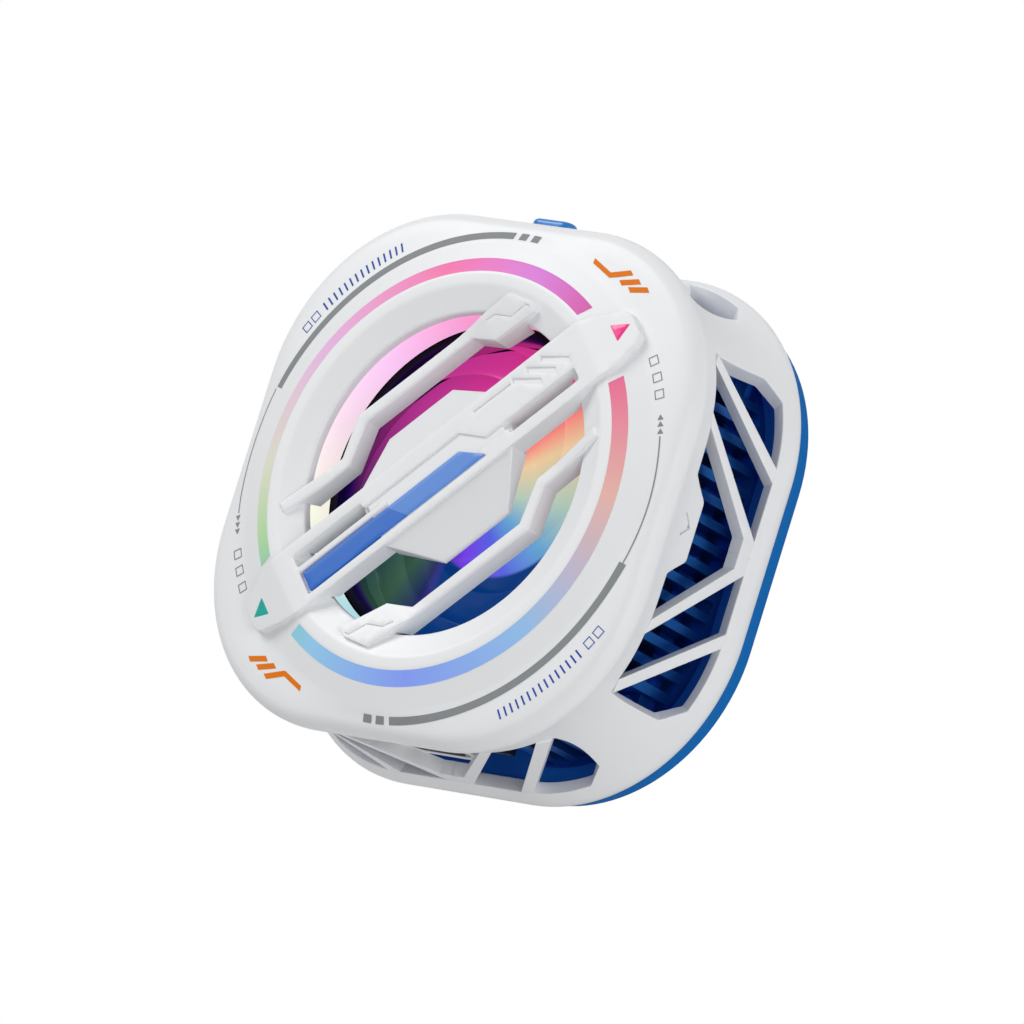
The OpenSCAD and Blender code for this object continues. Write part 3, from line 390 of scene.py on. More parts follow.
def put(tree, kind, inputs=None, **settings):
    """New node in a tree. settings are its own properties; inputs are constants, or the sockets that feed it."""
    n = tree.nodes.new(kind)
    for k, v in settings.items():
        setattr(n, k, v)
    for k, v in (inputs or {}).items():
        if isinstance(v, bpy.types.NodeSocket):
            tree.links.new(v, n.inputs[k])
        else:
            n.inputs[k].default_value = v
    return n


def calc(tree, kind, a, b=0.0, c=0.0):
    """Result of a math node over up to three sockets or constants."""
    return put(tree, "ShaderNodeMath", {0: a, 1: b, 2: c}, operation=kind).outputs[0]


def between(tree, value, a, b, low=0.0, high=1.0):
    """Value carried from the range a to b onto low to high, and held at its ends."""
    return put(tree, "ShaderNodeMapRange", {"Value": value, "From Min": a, "From Max": b, "To Min": low,
                                            "To Max": high}).outputs[0]


def mixed(tree, factor, a, b, kind="MIX"):
    """Mix of two colours."""
    return put(tree, "ShaderNodeMix", {"Factor": factor, "A": a, "B": b}, data_type="RGBA",
               blend_type=kind).outputs["Result"]


def object_xyz(tree):
    """The point's coordinates in the object's space, in metres."""
    return put(tree, "ShaderNodeSeparateXYZ", {0: put(tree, "ShaderNodeTexCoord").outputs["Object"]}).outputs


def ramp(tree, share, stops):
    """Colour ramp over a share from 0 to 1. Each stop is (place, linear colour)."""
    n = put(tree, "ShaderNodeValToRGB", {"Fac": share})
    e = n.color_ramp.elements
    while len(e) < len(stops):
        e.new(0.5)
    for item, (at, rgb) in zip(e, stops):
        item.position = at
        item.color = (*rgb, 1)
    return n.outputs["Color"]


def srgb(*rgb):
    """Linear colour of screen values from 0 to 255."""
    c = np.asarray(rgb) / 255
    return tuple(np.where(c <= 0.04045, c / 12.92, ((c + 0.055) / 1.055) ** 2.4))


def group(name, takes, gives):
    """Shader group with named input values or colours, and outputs."""
    g = bpy.data.node_groups.new(name, "ShaderNodeTree")
    for label, kind, value in takes:
        g.interface.new_socket(label, in_out="INPUT", socket_type=f"NodeSocket{kind}").default_value = value
    for label, kind in gives:
        g.interface.new_socket(label, in_out="OUTPUT", socket_type=f"NodeSocket{kind}")
    return g, g.nodes.new("NodeGroupInput").outputs, g.nodes.new("NodeGroupOutput").inputs


def finish_group():
    """Surface finish: cloudy tone, uneven gloss and a fine grain in the normal."""
    g, i, o = group("Finish", [("Colour", "Color", (1, 1, 1, 1)), ("Spread", "Float", 0.04), ("Rough", "Float", 0.4),
                               ("Scale", "Float", 400.0), ("Grain", "Float", 0.05)],
                    [("Colour", "Color"), ("Roughness", "Float"), ("Normal", "Vector")])
    at = put(g, "ShaderNodeTexCoord").outputs["Object"]
    cloud = put(g, "ShaderNodeTexNoise", {"Vector": at, "Scale": i["Scale"], "Detail": 4.0}).outputs["Fac"]
    fine = put(g, "ShaderNodeTexNoise", {"Vector": at, "Scale": calc(g, "MULTIPLY", i["Scale"], 14.0),
                                         "Detail": 3.0}).outputs["Fac"]
    tone = calc(g, "MULTIPLY_ADD", calc(g, "SUBTRACT", cloud, 0.5), i["Spread"], 1.0)
    mix = put(g, "ShaderNodeVectorMath", {0: i["Colour"], "Scale": tone}, operation="SCALE").outputs[0]
    rough = calc(g, "MULTIPLY_ADD", calc(g, "SUBTRACT", fine, 0.5), 0.12, i["Rough"])
    bump = put(g, "ShaderNodeBump", {"Strength": i["Grain"], "Distance": 0.0001, "Height": fine}).outputs[0]
    for k, v in (("Colour", mix), ("Roughness", rough), ("Normal", bump)):
        g.links.new(v, o[k])
    return g


def wheel_group():
    """Where a point lies round the Z axis: the angle from +X as a share of a turn, the radius in millimetres, and the
    height in millimetres. Lean moves the axis sideways with the depth under the level, per unit of depth."""
    g, i, o = group("Wheel", [("Lean", "Vector", (0, 0, 0)), ("Level", "Float", 0.02)],
                    [("Share", "Float"), ("Radius", "Float"), ("Height", "Float")])
    at = put(g, "ShaderNodeTexCoord").outputs["Object"]
    depth = calc(g, "SUBTRACT", i["Level"], put(g, "ShaderNodeSeparateXYZ", {0: at}).outputs[2])
    off = put(g, "ShaderNodeVectorMath", {0: i["Lean"], "Scale": depth}, operation="SCALE").outputs[0]
    xyz = put(g, "ShaderNodeSeparateXYZ", {0: put(g, "ShaderNodeVectorMath", {0: at, 1: off}).outputs[0]}).outputs
    turn = calc(g, "DIVIDE", calc(g, "ARCTAN2", xyz[1], xyz[0]), 2 * np.pi)
    r = calc(g, "SQRT", calc(g, "ADD", calc(g, "MULTIPLY", xyz[0], xyz[0]), calc(g, "MULTIPLY", xyz[1], xyz[1])))
    g.links.new(calc(g, "FRACT", calc(g, "ADD", turn, 1.0)), o["Share"])
    g.links.new(calc(g, "MULTIPLY", r, 1 / MM), o["Radius"])
    g.links.new(calc(g, "MULTIPLY", xyz[2], 1 / MM), o["Height"])
    return g


def shared(name, make):
    """The shader group of that name, made on first use."""
    return bpy.data.node_groups.get(name) or make()


def surface(name, rgb, rough=0.4, spread=0.06, scale=400.0, grain=0.05, metal=0.0, sheen=0.5):
    """Opaque material with the shared finish. rgb is a linear colour. Returns the material, its tree, the finish's
    outputs and the surface node."""
    m = bpy.data.materials.new(name)
    m.use_nodes = True
    t = m.node_tree
    f = put(t, "ShaderNodeGroup", {"Colour": (*rgb, 1), "Spread": spread, "Rough": rough, "Scale": scale,
                                   "Grain": grain}, node_tree=shared("Finish", finish_group)).outputs
    p = t.nodes["Principled BSDF"]
    p.inputs["Metallic"].default_value = metal
    p.inputs["Specular IOR Level"].default_value = sheen
    for k, v in (("Colour", "Base Color"), ("Roughness", "Roughness"), ("Normal", "Normal")):
        t.links.new(f[k], p.inputs[v])
    return m, t, f, p


def glow(name, stops, strength, rough=0.4, base=0.25, shade=None, painted_shade=None, sheen=0.2, lean=(0, 0, 0)):
    """Glowing material whose colour runs round the Z axis: the lamps' own light, and painted light on the fan and its
    duct.
    stops are (degrees from +X, screen colour); shade(tree, wheel) gives a factor on the light, and painted_shade(tree,
    wheel, colour) a colour with painted shade. lean slants the pattern with height."""
    m, t, f, p = surface(name, (0.8, 0.8, 0.8), rough=rough, spread=0.1, scale=160, grain=0.03, sheen=sheen)
    w = put(t, "ShaderNodeGroup", {"Lean": lean}, node_tree=shared("Wheel", wheel_group)).outputs
    hue = ramp(t, w["Share"], [(a / 360, srgb(*c)) for a, c in stops])
    hue = hue if painted_shade is None else painted_shade(t, w, hue)
    seen = between(t, put(t, "ShaderNodeLightPath").outputs["Is Camera Ray"], 0.0, 1.0, SPILL * strength, strength)
    power = seen if shade is None else calc(t, "MULTIPLY", shade(t, w), seen)
    dull = put(t, "ShaderNodeVectorMath", {0: hue, "Scale": base}, operation="SCALE").outputs[0]
    t.links.new(mixed(t, 1.0, dull, f["Colour"], "MULTIPLY"), p.inputs["Base Color"])
    t.links.new(hue, p.inputs["Emission Color"])
    t.links.new(power, p.inputs["Emission Strength"])
    return m


# Key colours of the lights: degrees from +X and rounded screen values

RING_STOPS = [(0, (240, 190, 180)), (30, (245, 125, 160)), (50, (225, 85, 160)), (78, (225, 125, 225)),
              (108, (255, 120, 180)), (150, (240, 190, 235)), (185, (230, 230, 210)), (205, (185, 225, 170)),
              (222, (130, 210, 190)), (245, (155, 210, 245)), (280, (140, 165, 255)), (318, (155, 200, 245)),
              (360, (240, 190, 180))]
INNER_STOPS = [(0, (255, 215, 215)), (60, (250, 150, 205)), (105, (255, 160, 215)), (140, (255, 205, 250)),
               (200, (255, 255, 235)), (240, (180, 230, 235)), (300, (200, 220, 255)), (360, (255, 215, 215))]
# Colours of the painted light on the fan and in its duct
FAN_STOPS = [(0, (185, 210, 190)), (30, (240, 210, 165)), (45, (250, 130, 125)), (65, (230, 55, 150)),
             (140, (190, 55, 150)), (190, (95, 40, 110)), (212, (25, 65, 75)), (240, (60, 95, 75)),
             (256, (35, 45, 100)), (280, (120, 65, 235)), (310, (90, 100, 230)), (335, (105, 170, 215)),
             (360, (185, 210, 190))]


# Finishes: linear colour, roughness, spread of the tone, scale of the noise, grain, metal and specular level

FINISHES = {
    "board": ((0.01, 0.02, 0.045), 0.4, 0.5, 900),
    "chip": ((0.012, 0.012, 0.014), 0.5, 0.3, 900),
    "led_body": ((0.8, 0.75, 0.55), 0.4, 0.2, 900),
    "switch_body": ((0.03, 0.03, 0.034), 0.5, 0.3, 700),
    "steel": ((0.55, 0.56, 0.58), 0.32, 0.15, 900, 0.1, 1.0),
    "magnet": ((0.1, 0.1, 0.11), 0.35, 0.2, 500, 0.05, 0.8),
    "bronze": ((0.42, 0.24, 0.09), 0.5, 0.3, 1500, 0.2, 0.9),
    "washer": ((0.7, 0.67, 0.56), 0.5, 0.1, 800),
    "lamination": ((0.25, 0.26, 0.28), 0.45, 0.3, 900, 0.05, 0.9),
    "copper": ((0.45, 0.14, 0.035), 0.35, 0.4, 1800, 0.3, 0.9),
    "aluminium": ((0.66, 0.67, 0.69), 0.34, 0.12, 700, 0.12, 1.0),
    "ceramic": ((0.8, 0.8, 0.77), 0.6, 0.06, 600),
    "pellet": ((0.05, 0.055, 0.06), 0.5, 0.4, 900, 0.05, 0.5),
    "thermal_pad": ((0.5, 0.34, 0.4), 0.7, 0.15, 900, 0.2),
    "foam": ((0.02, 0.02, 0.022), 0.9, 0.6, 1600, 0.6),
    "silicone": ((0.035, 0.038, 0.045), 0.6, 0.2, 700, 0.12),
    "wire": ((0.35, 0.01, 0.01), 0.4, 0.15, 900),
    "flex": ((0.012, 0.012, 0.014), 0.35, 0.3, 900),
}
# The same for the prints, after their colour
PRINT = 0.5, 0.12, 700, 0.04, 0.0, 0.1


def base_material(name, looks):
    """Blue base, with a painted glow on its faces inside the shell that stands in for the faint light of the lamps."""
    m, t, _, p = surface(name, looks.rim, 0.5, 0.1, 150, 0.08, sheen=0.1)
    p.inputs["Emission Color"].default_value = (0.03, 0.13, 1.0, 1)
    # Heights just under the base's upper face, between which the painted glow sets in
    low, high = 2.75 * MM, 2.79 * MM
    t.links.new(between(t, object_xyz(t)[2], low, high, 0.0, 0.05), p.inputs["Emission Strength"])
    return m


def material_set(context):
    """Makes the materials once and returns them by name. Their own names differ from those of the CAD's materials."""
    looks = context.scene.cooler_looks
    rows = {**FINISHES, "white_shell": (looks.shell, 0.4, 0.03, 120, 0.04), "bar_plastic": (looks.bar, 0.4, 0.03, 150),
            "blue_plastic": (looks.button, 0.2, 0.1, 200, 0.03), "anodised": (looks.fins, 0.35, 0.4, 260, 0.12, 0.9),
            "grey_print": (looks.grey, *PRINT), "blue_print": (looks.ink, *PRINT),
            "orange_print": (looks.orange, *PRINT)}
    made, kit = bpy.data.materials.get, {}
    for name, row in rows.items():
        own = "cooler_" + name
        kit[name] = made(own) or surface(own, *row)[0]
    kit["base_blue"] = made("cooler_base_blue") or base_material("cooler_base_blue", looks)
    # The duct's wall and the fan's base are no lamps: their glow is painted light from the blades, with painted shade
    # under the duct's upper edge
    kit["duct_wall"] = made("duct_wall") or glow("duct_wall", FAN_STOPS, 0.5, base=0.03, shade=duct_painted_light,
                                                 painted_shade=duct_painted_shade, lean=LEAN)
    return kit


# Shell

class Side:
    """Skin of the shell's side: the flange's arc, the waist's hollow and the cap's edge joined tangentially, as a
    section of (offset, height) that is carried round the rounded square. w runs along the side, v along the section."""

    def __init__(self, s):
        self.s, self.r = s, s.cap_half - s.core
        cap = np.array([-s.cap_edge_r, s.cap_z])
        foot = np.array([s.flange_out - s.flange_edge_r, s.base_top + s.flange_edge_r])
        ra, rb = s.cap_edge_r + s.waist_r, s.flange_edge_r + s.waist_r
        d = np.linalg.norm(foot - cap)
        u = (foot - cap) / d
        k = (ra * ra - rb * rb + d * d) / (2 * d)
        mid = cap + k * u + np.sqrt(ra * ra - k * k) * np.array([-u[1], u[0]])
        parts = []
        arcs = ((foot, s.flange_edge_r, -QUARTER, self.angle(mid - foot), 1),
                (mid, s.waist_r, self.angle(foot - mid) + 2 * np.pi, self.angle(cap - mid), -1),
                (cap, s.cap_edge_r, self.angle(mid - cap), CAP_TILT, 1))
        for (c, r, a, b, sign), n in zip(arcs, ARC_STEPS):
            t = np.linspace(a, b, n)
            m = np.stack([np.cos(t), np.sin(t)], -1)
            parts.append(np.concatenate([c + r * m, sign * m], 1))
        self.line = np.concatenate([parts[0][:-1], parts[1], parts[2][1:]])
        step = np.linalg.norm(np.diff(self.line[:, :2], axis=0), axis=1)
        self.v = np.concatenate([[0], np.cumsum(step)])
        i = ARC_STEPS[0] - 1
        j = i + ARC_STEPS[1] - 1
        self.low, self.high, self.top = self.v[i], self.v[j], self.v[-1]
        self.low_rows, self.high_rows = self.v[:i + 1], self.v[j:]
        self.turn_r = self.r - 1
        self.end = s.core + self.turn_r * DIAG

    @staticmethod
    def angle(p):
        """Direction of a vector in the section, in radians."""
        return np.arctan2(p[1], p[0])

    def across(self, y, z):
        """Where a point drawn along the side and up lies in (w, v)."""
        v = np.interp(z, self.line[:, 1], self.v)
        r = self.r + np.interp(v, self.v, self.line[:, 0])
        a = np.arcsin(np.clip((np.abs(y) - self.s.core) / r, 0, 1))
        w = np.where(np.abs(y) > self.s.core, np.sign(y) * (self.s.core + self.turn_r * a), y)
        return np.stack([w, v], -1)

    def bridge(self, quarter, points):
        """Points drawn along the side and up, on the straight line that spans the hollow from sill to upper edge."""
        y, z = np.asarray(points, float).T
        ends = np.interp([SILL_Z, VENT_TOP_Z], self.line[:, 1], self.line[:, 0])
        r = self.r + np.interp(z, [SILL_Z, VENT_TOP_Z], ends)
        core = self.s.core
        a = np.sign(y) * np.arcsin(np.clip((np.abs(y) - core) / r, 0, 1))
        xy = np.stack([core + r * np.cos(a), np.clip(y, -core, core) + r * np.sin(a)], -1)
        return np.concatenate([turned(xy, quarter * QUARTER), z[:, None]], -1)

    def place(self, quarter):
        """Function from (w, v, k) to the point k under the skin, on the side turned by that many quarters."""
        def at(w, v, k):
            d, z, nd, nz = (np.interp(v, self.v, self.line[:, i]) for i in range(4))
            core = self.s.core
            a = np.sign(w) * np.maximum(np.abs(w) - core, 0) / self.turn_r
            r = self.r + d - k * nd
            xy = np.stack([core + r * np.cos(a), np.clip(w, -core, core) + r * np.sin(a)], -1)
            return np.concatenate([turned(xy, quarter * QUARTER), (z - k * nz)[..., None]], -1)
        return at


def square_radius(angle, half, core):
    """Distance from the middle to a rounded square's edge, by direction. The corners' centres are at core."""
    f = np.abs((angle + DIAG) % QUARTER - DIAG)
    c, e = np.cos(f), np.sin(f)
    straight = half / c
    dot = core * (c + e)
    arc = dot + np.sqrt(np.maximum(dot * dot - 2 * core * core + (half - core) ** 2, 0))
    return np.where(half * np.tan(f) <= core, straight, arc)


def eased(t, z0, z1, m0, m1):
    """Cubic from z0 to z1 with the end slopes m0 and m1."""
    return ((2 * t - 3) * t * t + 1) * z0 + ((t - 2) * t + 1) * t * m0 + (3 - 2 * t) * t * t * z1 + (t - 1) * t * t * m1


def shoulder_height(s, angle, radius):
    """Height of the shoulder that eases the rounded square into the round dome."""
    half = s.cap_half - s.cap_edge_r * (1 - np.cos(CAP_TILT))
    out = square_radius(angle, half, s.core)
    run = out - s.dome_r
    t = np.clip((out - radius) / run, 0, 1)
    slope = (s.lip_z - s.dome_z) / (s.dome_r - s.lip_r)
    edge_z = s.cap_z + s.cap_edge_r * np.sin(CAP_TILT)
    return eased(t, edge_z, s.dome_z, 0.8 * run / np.tan(CAP_TILT), 0.8 * slope * run)


def face_height(s, x, y):
    """Height of the shell's front at a point of its plan, from the shoulder in to the inlet."""
    r, a = np.hypot(x, y), np.arctan2(y, x)
    inner = np.interp(r, [s.inlet_r, s.dish_r, s.lip_r, s.dome_r], [s.inlet_z, s.lip_z, s.lip_z, s.dome_z])
    return np.where(r > s.dome_r, shoulder_height(s, a, r), inner)


def bent(points, radius, steps=4):
    """Open line of (radius, height) points with its inner corners rounded."""
    p = np.asarray(points, float)
    out = [p[:1]]
    for i in range(1, len(p) - 1):
        u, v = p[i] - p[i - 1], p[i + 1] - p[i]
        k = min(radius, 0.45 * np.linalg.norm(u), 0.45 * np.linalg.norm(v))
        a, b = p[i] - k * u / np.linalg.norm(u), p[i] + k * v / np.linalg.norm(v)
        t = np.linspace(0, 1, steps + 1)[:, None]
        out.append((1 - t) ** 2 * a + 2 * t * (1 - t) * p[i] + t * t * b)
    return np.concatenate(out + [p[-1:]])


def vent_loop():
    """Outline of a side vent with its tongue, drawn along the side and up, counter-clockwise."""
    half = [(19.7, SILL_Z), (21.8, 8.6), (21.5, 18.2), (19.9, 18.95), (14.1, 19.35), (6.3, 19.1), (3.8, 15.7)]
    radii = [0.5, 0.5, 0.25, 0.3, 0.3, 0.4, 0.9]
    return rounded(half + [(-y, z) for y, z in reversed(half)], radii + radii[::-1], 0.6)[0]


# Vent bars of one half of a side: two points on the sill, then two at the upper end
STRUTS = [([(9.6, SILL_Z), (11.5, SILL_Z)], [(19.9, 18.95), (21.5, 18.2)]),
          ([(0.1, SILL_Z), (2.2, SILL_Z)], [(12.1, 19.15), (14.1, 19.35)]),
          ([(-2.2, SILL_Z), (0.05, SILL_Z)], [(-1.9, 8.4), (0.05, 8.4)])]


class COOLER_OT_shell(bpy.types.Operator):
    """White moulded shell: waisted sides with vents, shoulder, dome, lip and dish"""
    bl_idname = "cooler.shell"
    bl_label = "Shell"

    def execute(self, context):
        s, kit = sizes(context), material_set(context)
        side, m = Side(s), Shape()
        w = np.linspace(-side.end, side.end, 97)
        v = np.linspace(side.low, side.high, 27)
        border = np.concatenate([np.stack(np.broadcast_arrays(a, b), -1) for a, b in (
            (w[:-1], side.low), (side.end, v[:-1]), (w[:0:-1], side.high), (-side.end, v[:0:-1]))])
        gap = 0.3
        wide, tall = s.button_w / 2 + gap, s.button_h / 2 + gap
        button = rounded(box_loop(wide, tall, s.button_z), tall - 0.01, 0.6)[0]
        groove = rounded([(-1.3, 18.6), (0.1, 16.8), (1.5, 18.6), (1.5, 19.0), (0.1, 17.2), (-1.3, 19.0)], 0.05, 0.5)[0]
        vent, push, chevron = (side.across(*p.T) for p in (vent_loop(), button, groove))
        box = chevron.min(0) - 0.02, chevron.max(0) + 0.02

        def depth(a, b):
            """Depth of the openings' walls: shallow in the bent groove."""
            q = np.stack([a, b], -1)
            return np.where(((q > box[0]) & (q < box[1])).all(1), GROOVE, s.wall)

        def deep_end(a, b):
            """Depth of the walls on the button's side: more in the lower part of the vent, at its +X end."""
            return np.where((a < -9) & (b < 12), 2.9, s.wall)
        none = np.zeros(len(w))
        profile = bent([(s.dome_r, s.dome_z), (s.lip_r, s.lip_z), (s.dish_r, s.lip_z), (s.inlet_r, s.inlet_z),
                        (s.inlet_r, s.ceiling_z)], 0.3)
        for q in range(4):
            place = side.place(q)
            cut = [vent] + [push] * (q == 1) + [chevron] * (q == 0)
            loops = [(border, np.zeros_like(border), 0)] + [(p, normals(p), -1) for p in cut]
            m.region(loops, place, deep_end if q == 1 else depth, fillet=s.soft, cell=0.95)
            if q == 0:
                m.patch(chevron, place, FILM)
            for foot, head in STRUTS:
                self.strut(s, side, q, m, foot, head)
                self.strut(s, side, q, m, *([(-y, z) for y, z in reversed(e)] for e in (foot, head)))
            for rows in (side.low_rows, side.high_rows):
                a, b = np.meshgrid(w, rows)
                m.grid(place(a, b, np.zeros_like(a)))
            rim = place(w, none + side.top, none)
            angle, out = np.arctan2(rim[:, 1], rim[:, 0]), np.hypot(rim[:, 0], rim[:, 1])
            t = np.linspace(0, 1, 9)[:, None]
            r = out + (s.dome_r - out) * t
            z = shoulder_height(s, angle, r)
            z[0] = rim[:, 2]
            m.grid(np.stack([r * np.cos(angle), r * np.sin(angle), z], -1))
            m.revolve(profile, angle)
            low = place(w, none, none)
            inner = low * [0.945, 0.945, 1]
            m.grid(np.stack([inner, low]))
        self.bezel(s, m)
        m.build("shell", [kit["white_shell"]], "cooler", "white_shell", ["housing"], weld=1e-4)
        return {"FINISHED"}

    @staticmethod
    def strut(s, side, quarter, m, foot, head):
        """Straight vent bar. Its outer face is the flat sheet between two points of the sill and two of the upper edge,
        which bridges the hollow of the waist. Both ends run on into the shell."""
        f0, f1 = side.bridge(quarter, foot)
        h0, h1 = side.bridge(quarter, head)
        wide, tall = np.linalg.norm(f1 - f0), np.linalg.norm(h0 - f0)
        out = np.cross(f1 - f0, h0 - f0)
        out /= np.linalg.norm(out)
        run, sunk = 1.03, 0.025

        def place(a, b, k):
            i, j = (a / wide)[:, None], (run * b / tall - sunk)[:, None]
            return (1 - j) * ((1 - i) * f0 + i * f1) + j * ((1 - i) * h0 + i * h1) - np.asarray(k)[:, None] * out
        m.region([(*rounded([(0, 0), (wide, 0), (wide, tall), (0, tall)], 0, 0.8), 1)], place,
                 flat(s.wall), fillet=s.soft, cell=1.2, steps=2)

    @staticmethod
    def bezel(s, m):
        """Block in the lower vent that frames the power socket."""
        front, tall = -30.6, 1.93

        def place(x, z, k):
            return np.stack([x, front + k, z], -1)
        block = rounded(box_loop(5.77, 2.63, s.socket_z), 0.6, 0.5)
        slot = rounded(box_loop(4.77, tall, s.socket_z), tall - 0.01, 0.4)
        m.region([(*block, 1), (*slot, -1)], place, flat(2.2), fillet=0.25, cell=0.6)


# Grille

def bar_height(s, a):
    """Top of the bar along its length: level over the inlet, then down the dome at both ends."""
    fold = s.lip_r - FOLD_IN
    return np.interp(np.abs(a), [fold - FOLD_HALF, fold + FOLD_HALF, s.tab_end],
                     [s.bar_top, s.bar_top - 0.03, s.dome_z + 0.75])


def on_bar(height):
    """Function from (along the bar, across it, k) to the point k under the height function."""
    def at(a, b, k):
        return np.concatenate([turned(np.stack([a, b], -1), DIAG), (height(a, b) - k)[..., None]], -1)
    return at


def face_floor(s, a, b, low):
    """Lowest point of a grille piece: its own underside, or just under the shell's front."""
    return np.where(np.hypot(a, b) < s.inlet_r - 0.3, low, np.maximum(low, face_height(s, a, b) - 0.12))


def both(points):
    """A plan and its copy turned by half a turn about the middle."""
    p = np.asarray(points, float)
    return [p, -p]


def bar_outline(s):
    """Corners of the bar with its two tabs, along the bar and across it, counter-clockwise."""
    e, h = s.tab_end, s.bar_half
    half = [(s.lip_r - 1, -h), (e - 4.2, 0.2 - h), (e - 0.5, -2.5), (e, -1.9), (e, 1.2), (e - 0.6, 2.1),
            (e - 4.2, h - 0.7), (s.lip_r - 1, h)]
    return half + half_turned(half)


class COOLER_OT_bar(bpy.types.Operator):
    """Diagonal bar of two stepped beams with a channel, slots, a sloped boss and engraved marks"""
    bl_idname = "cooler.bar"
    bl_label = "Bar"

    def execute(self, context):
        s, kit = sizes(context), material_set(context)
        m = Shape()
        place = on_bar(lambda a, b: bar_height(s, a))
        slots = [(10.8, -2.8), (21.8, -2.8), (21.8, -0.9), (7.5, -0.9), (4.6, 2), (-10.8, 2), (-10.8, 2.8),
                 (-21.8, 2.8), (-21.8, 0.9), (-7.6, 0.9)]
        pocket = [(-21.85, 0.15), (-21.85, -3.25), (6.9, -3.25), (5.7, -2)]
        radii = [0.35] * 9 + [0.25, 0.25, 0.1, 0.1, 0.1, 0.25, 0.35]
        channel = rounded(slots + [(-7.6, 0.15)] + pocket + [(10.8, -2)], radii, 0.6)
        marks = [rounded([(c - 0.1, -0.05), (c, 0.85), (c - 3.4, 3.6), (c - 3.45, 2.75)], 0.08, 0.5)
                 for c in (21.8, 19.6, 17.3)]
        marks.append(rounded([(7.6, 3.02), (13.4, 2.92), (13.4, 3.1), (7.6, 3.2)], 0.04, 0.5))

        def sunk(b):
            """Depth of the marks, which grows across the bar."""
            return np.interp(b, [0.0, 3.3], [0.13, 0.3])

        def depth(a, b):
            """Depth of the walls: shallow in the plate's pocket and in the marks, else down to the shell."""
            in_pocket = (a > -22) & (a < 6.9) & (b > -3.4) & (b < np.interp(a, [-7.7, -4.8], [0.3, -2.2]))
            in_mark = (a > 7) & (a < 22.5) & (b > -0.3) & (b < 4.0)
            full = place(a, b, np.zeros(len(a)))[:, 2] - face_floor(s, a, b, s.bar_bottom)
            return np.where(in_mark, sunk(b), np.where(in_pocket, GROOVE, full))

        fold = s.lip_r - FOLD_IN
        crease = [(c + d, b) for c in (-fold, fold) for d in (-FOLD_HALF, FOLD_HALF)
                  for b in np.arange(0.35 - s.bar_half, s.bar_half - 0.3, 0.35)]
        loops = [(*rounded(bar_outline(s), 0.45, 0.6), 1), (*channel, -1)] + [(*p, -1) for p in marks]
        m.region(loops, place, depth, fillet=0.12, cell=0.8, floor=False, extra=crease, rows=2)
        ramp_floor = on_bar(lambda a, b: bar_height(s, a) - sunk(b))
        for p, _ in marks:
            m.patch(p, ramp_floor, 0.005)
        m.patch(rounded(pocket[1:] + [(-4.6, -2), (-7.6, 0.15), pocket[0]], 0.02, 0.8)[0], place, FILM)
        band = [(-10.9, 2.2), (4.8, 2.2), (7.7, -0.7), (10.9, -0.7)]
        floor = rounded(band + half_turned(band), 0.05, 0.8)
        low = on_bar(flat(s.bar_top - 0.8))
        m.region([(*floor, 1)], low, flat(1.9), fillet=0.04, cell=1.2, steps=1)
        self.boss(s, m)
        m.build("bar", [kit["bar_plastic"]], "cooler", "bar_plastic", ["cross_bar"])
        return {"FINISHED"}

    @staticmethod
    def boss(s, m):
        """Six-sided boss whose top falls away to both sides, with softened edges."""
        n, e, h = s.inlet_r / 2, 9.94, s.bar_half
        plan = [(n, -h), (n, h), (n / 2, e), (-n / 2, e), (-n, h), (-n, -h), (-n / 2, -e), (n / 2, -e)]
        soft = 0.2
        fold = h - 0.39 * soft
        fall = 2.55 / (e - fold)

        def height(a, b):
            return s.bar_top - 0.25 - fall * np.maximum(np.abs(b) - fold, 0)
        m.region([(*rounded(plan, 0, 0.7), 1)], on_bar(height),
                 lambda a, b: height(a, b) - s.bar_bottom + 0.6, fillet=soft, cell=1.0, steps=2,
                 extra=[(a, b) for b in (-fold, fold) for a in np.linspace(0.5 - n, n - 0.5, 30)])


class COOLER_OT_ribs(bpy.types.Operator):
    """Two zigzag guard ribs whose ends sweep up onto the dish, each with a raised pad and a bent groove"""
    bl_idname = "cooler.ribs"
    bl_label = "Guard ribs"

    def execute(self, context):
        s, kit = sizes(context), material_set(context)
        m, r, w = Shape(), s.inlet_r, 1.6
        plan = r * np.array([(-1.02, 0.53), (-0.53, 0.542), (-0.312, 0.722), (0.522, 0.722), (0.654, 0.517),
                             (0.99, 0.473), (0.98, 0.551), (0.876, 0.706), (0.62, 0.716), (-0.346, 0.722),
                             (-0.551, 0.542), (-1.02, 0.53)])
        plan[:4, 1] -= w
        rib = rounded(plan, 0.3, 0.6)
        pad = rounded([(10.9, 13.15), (13.45, 10.68), (20.2, 9.8), (20.02, 11.25), (17.9, 14.4), (12.7, 14.6),
                       (10.5, 14.62)], 0.2, 0.5)
        line = rounded(stroke([(13.5, 13.7), (15.0, 13.4), (16.75, 11.65), (19.35, 11.45), (19.7, 10.9)], 0.07), 0, 0.5)

        def height(a, b):
            """Level over the inlet, then straight up to the lip, by the distance from the middle."""
            return np.interp(np.hypot(a, b), [r - 3.5, s.dish_r - 0.4], [s.rib_top, s.lip_z + 0.12])

        def raised(a, b):
            """Height of the pad, which rises out of the rib along the bar."""
            return height(a, b) + np.interp(np.abs(a), [11.0, 13.4], [-0.05, 0.2])

        def depth(a, b):
            """Depth down to the rib's underside or to the shell."""
            return height(a, b) - face_floor(s, a, b, s.rib_bottom)
        for sign in (1, -1):
            outer, top, cut = ((sign * p, sign * n, k) for (p, n), k in ((rib, 1), (pad, 1), (line, -1)))
            m.region([outer], on_bar(height), depth, fillet=0.28, cell=0.7, steps=3)
            m.region([top, cut], on_bar(raised), flat(0.5), fillet=0.05, cell=0.7, steps=2, floor=False)
        m.build("ribs", [kit["bar_plastic"]], "cooler", "bar_plastic", ["guard_ribs"])
        return {"FINISHED"}


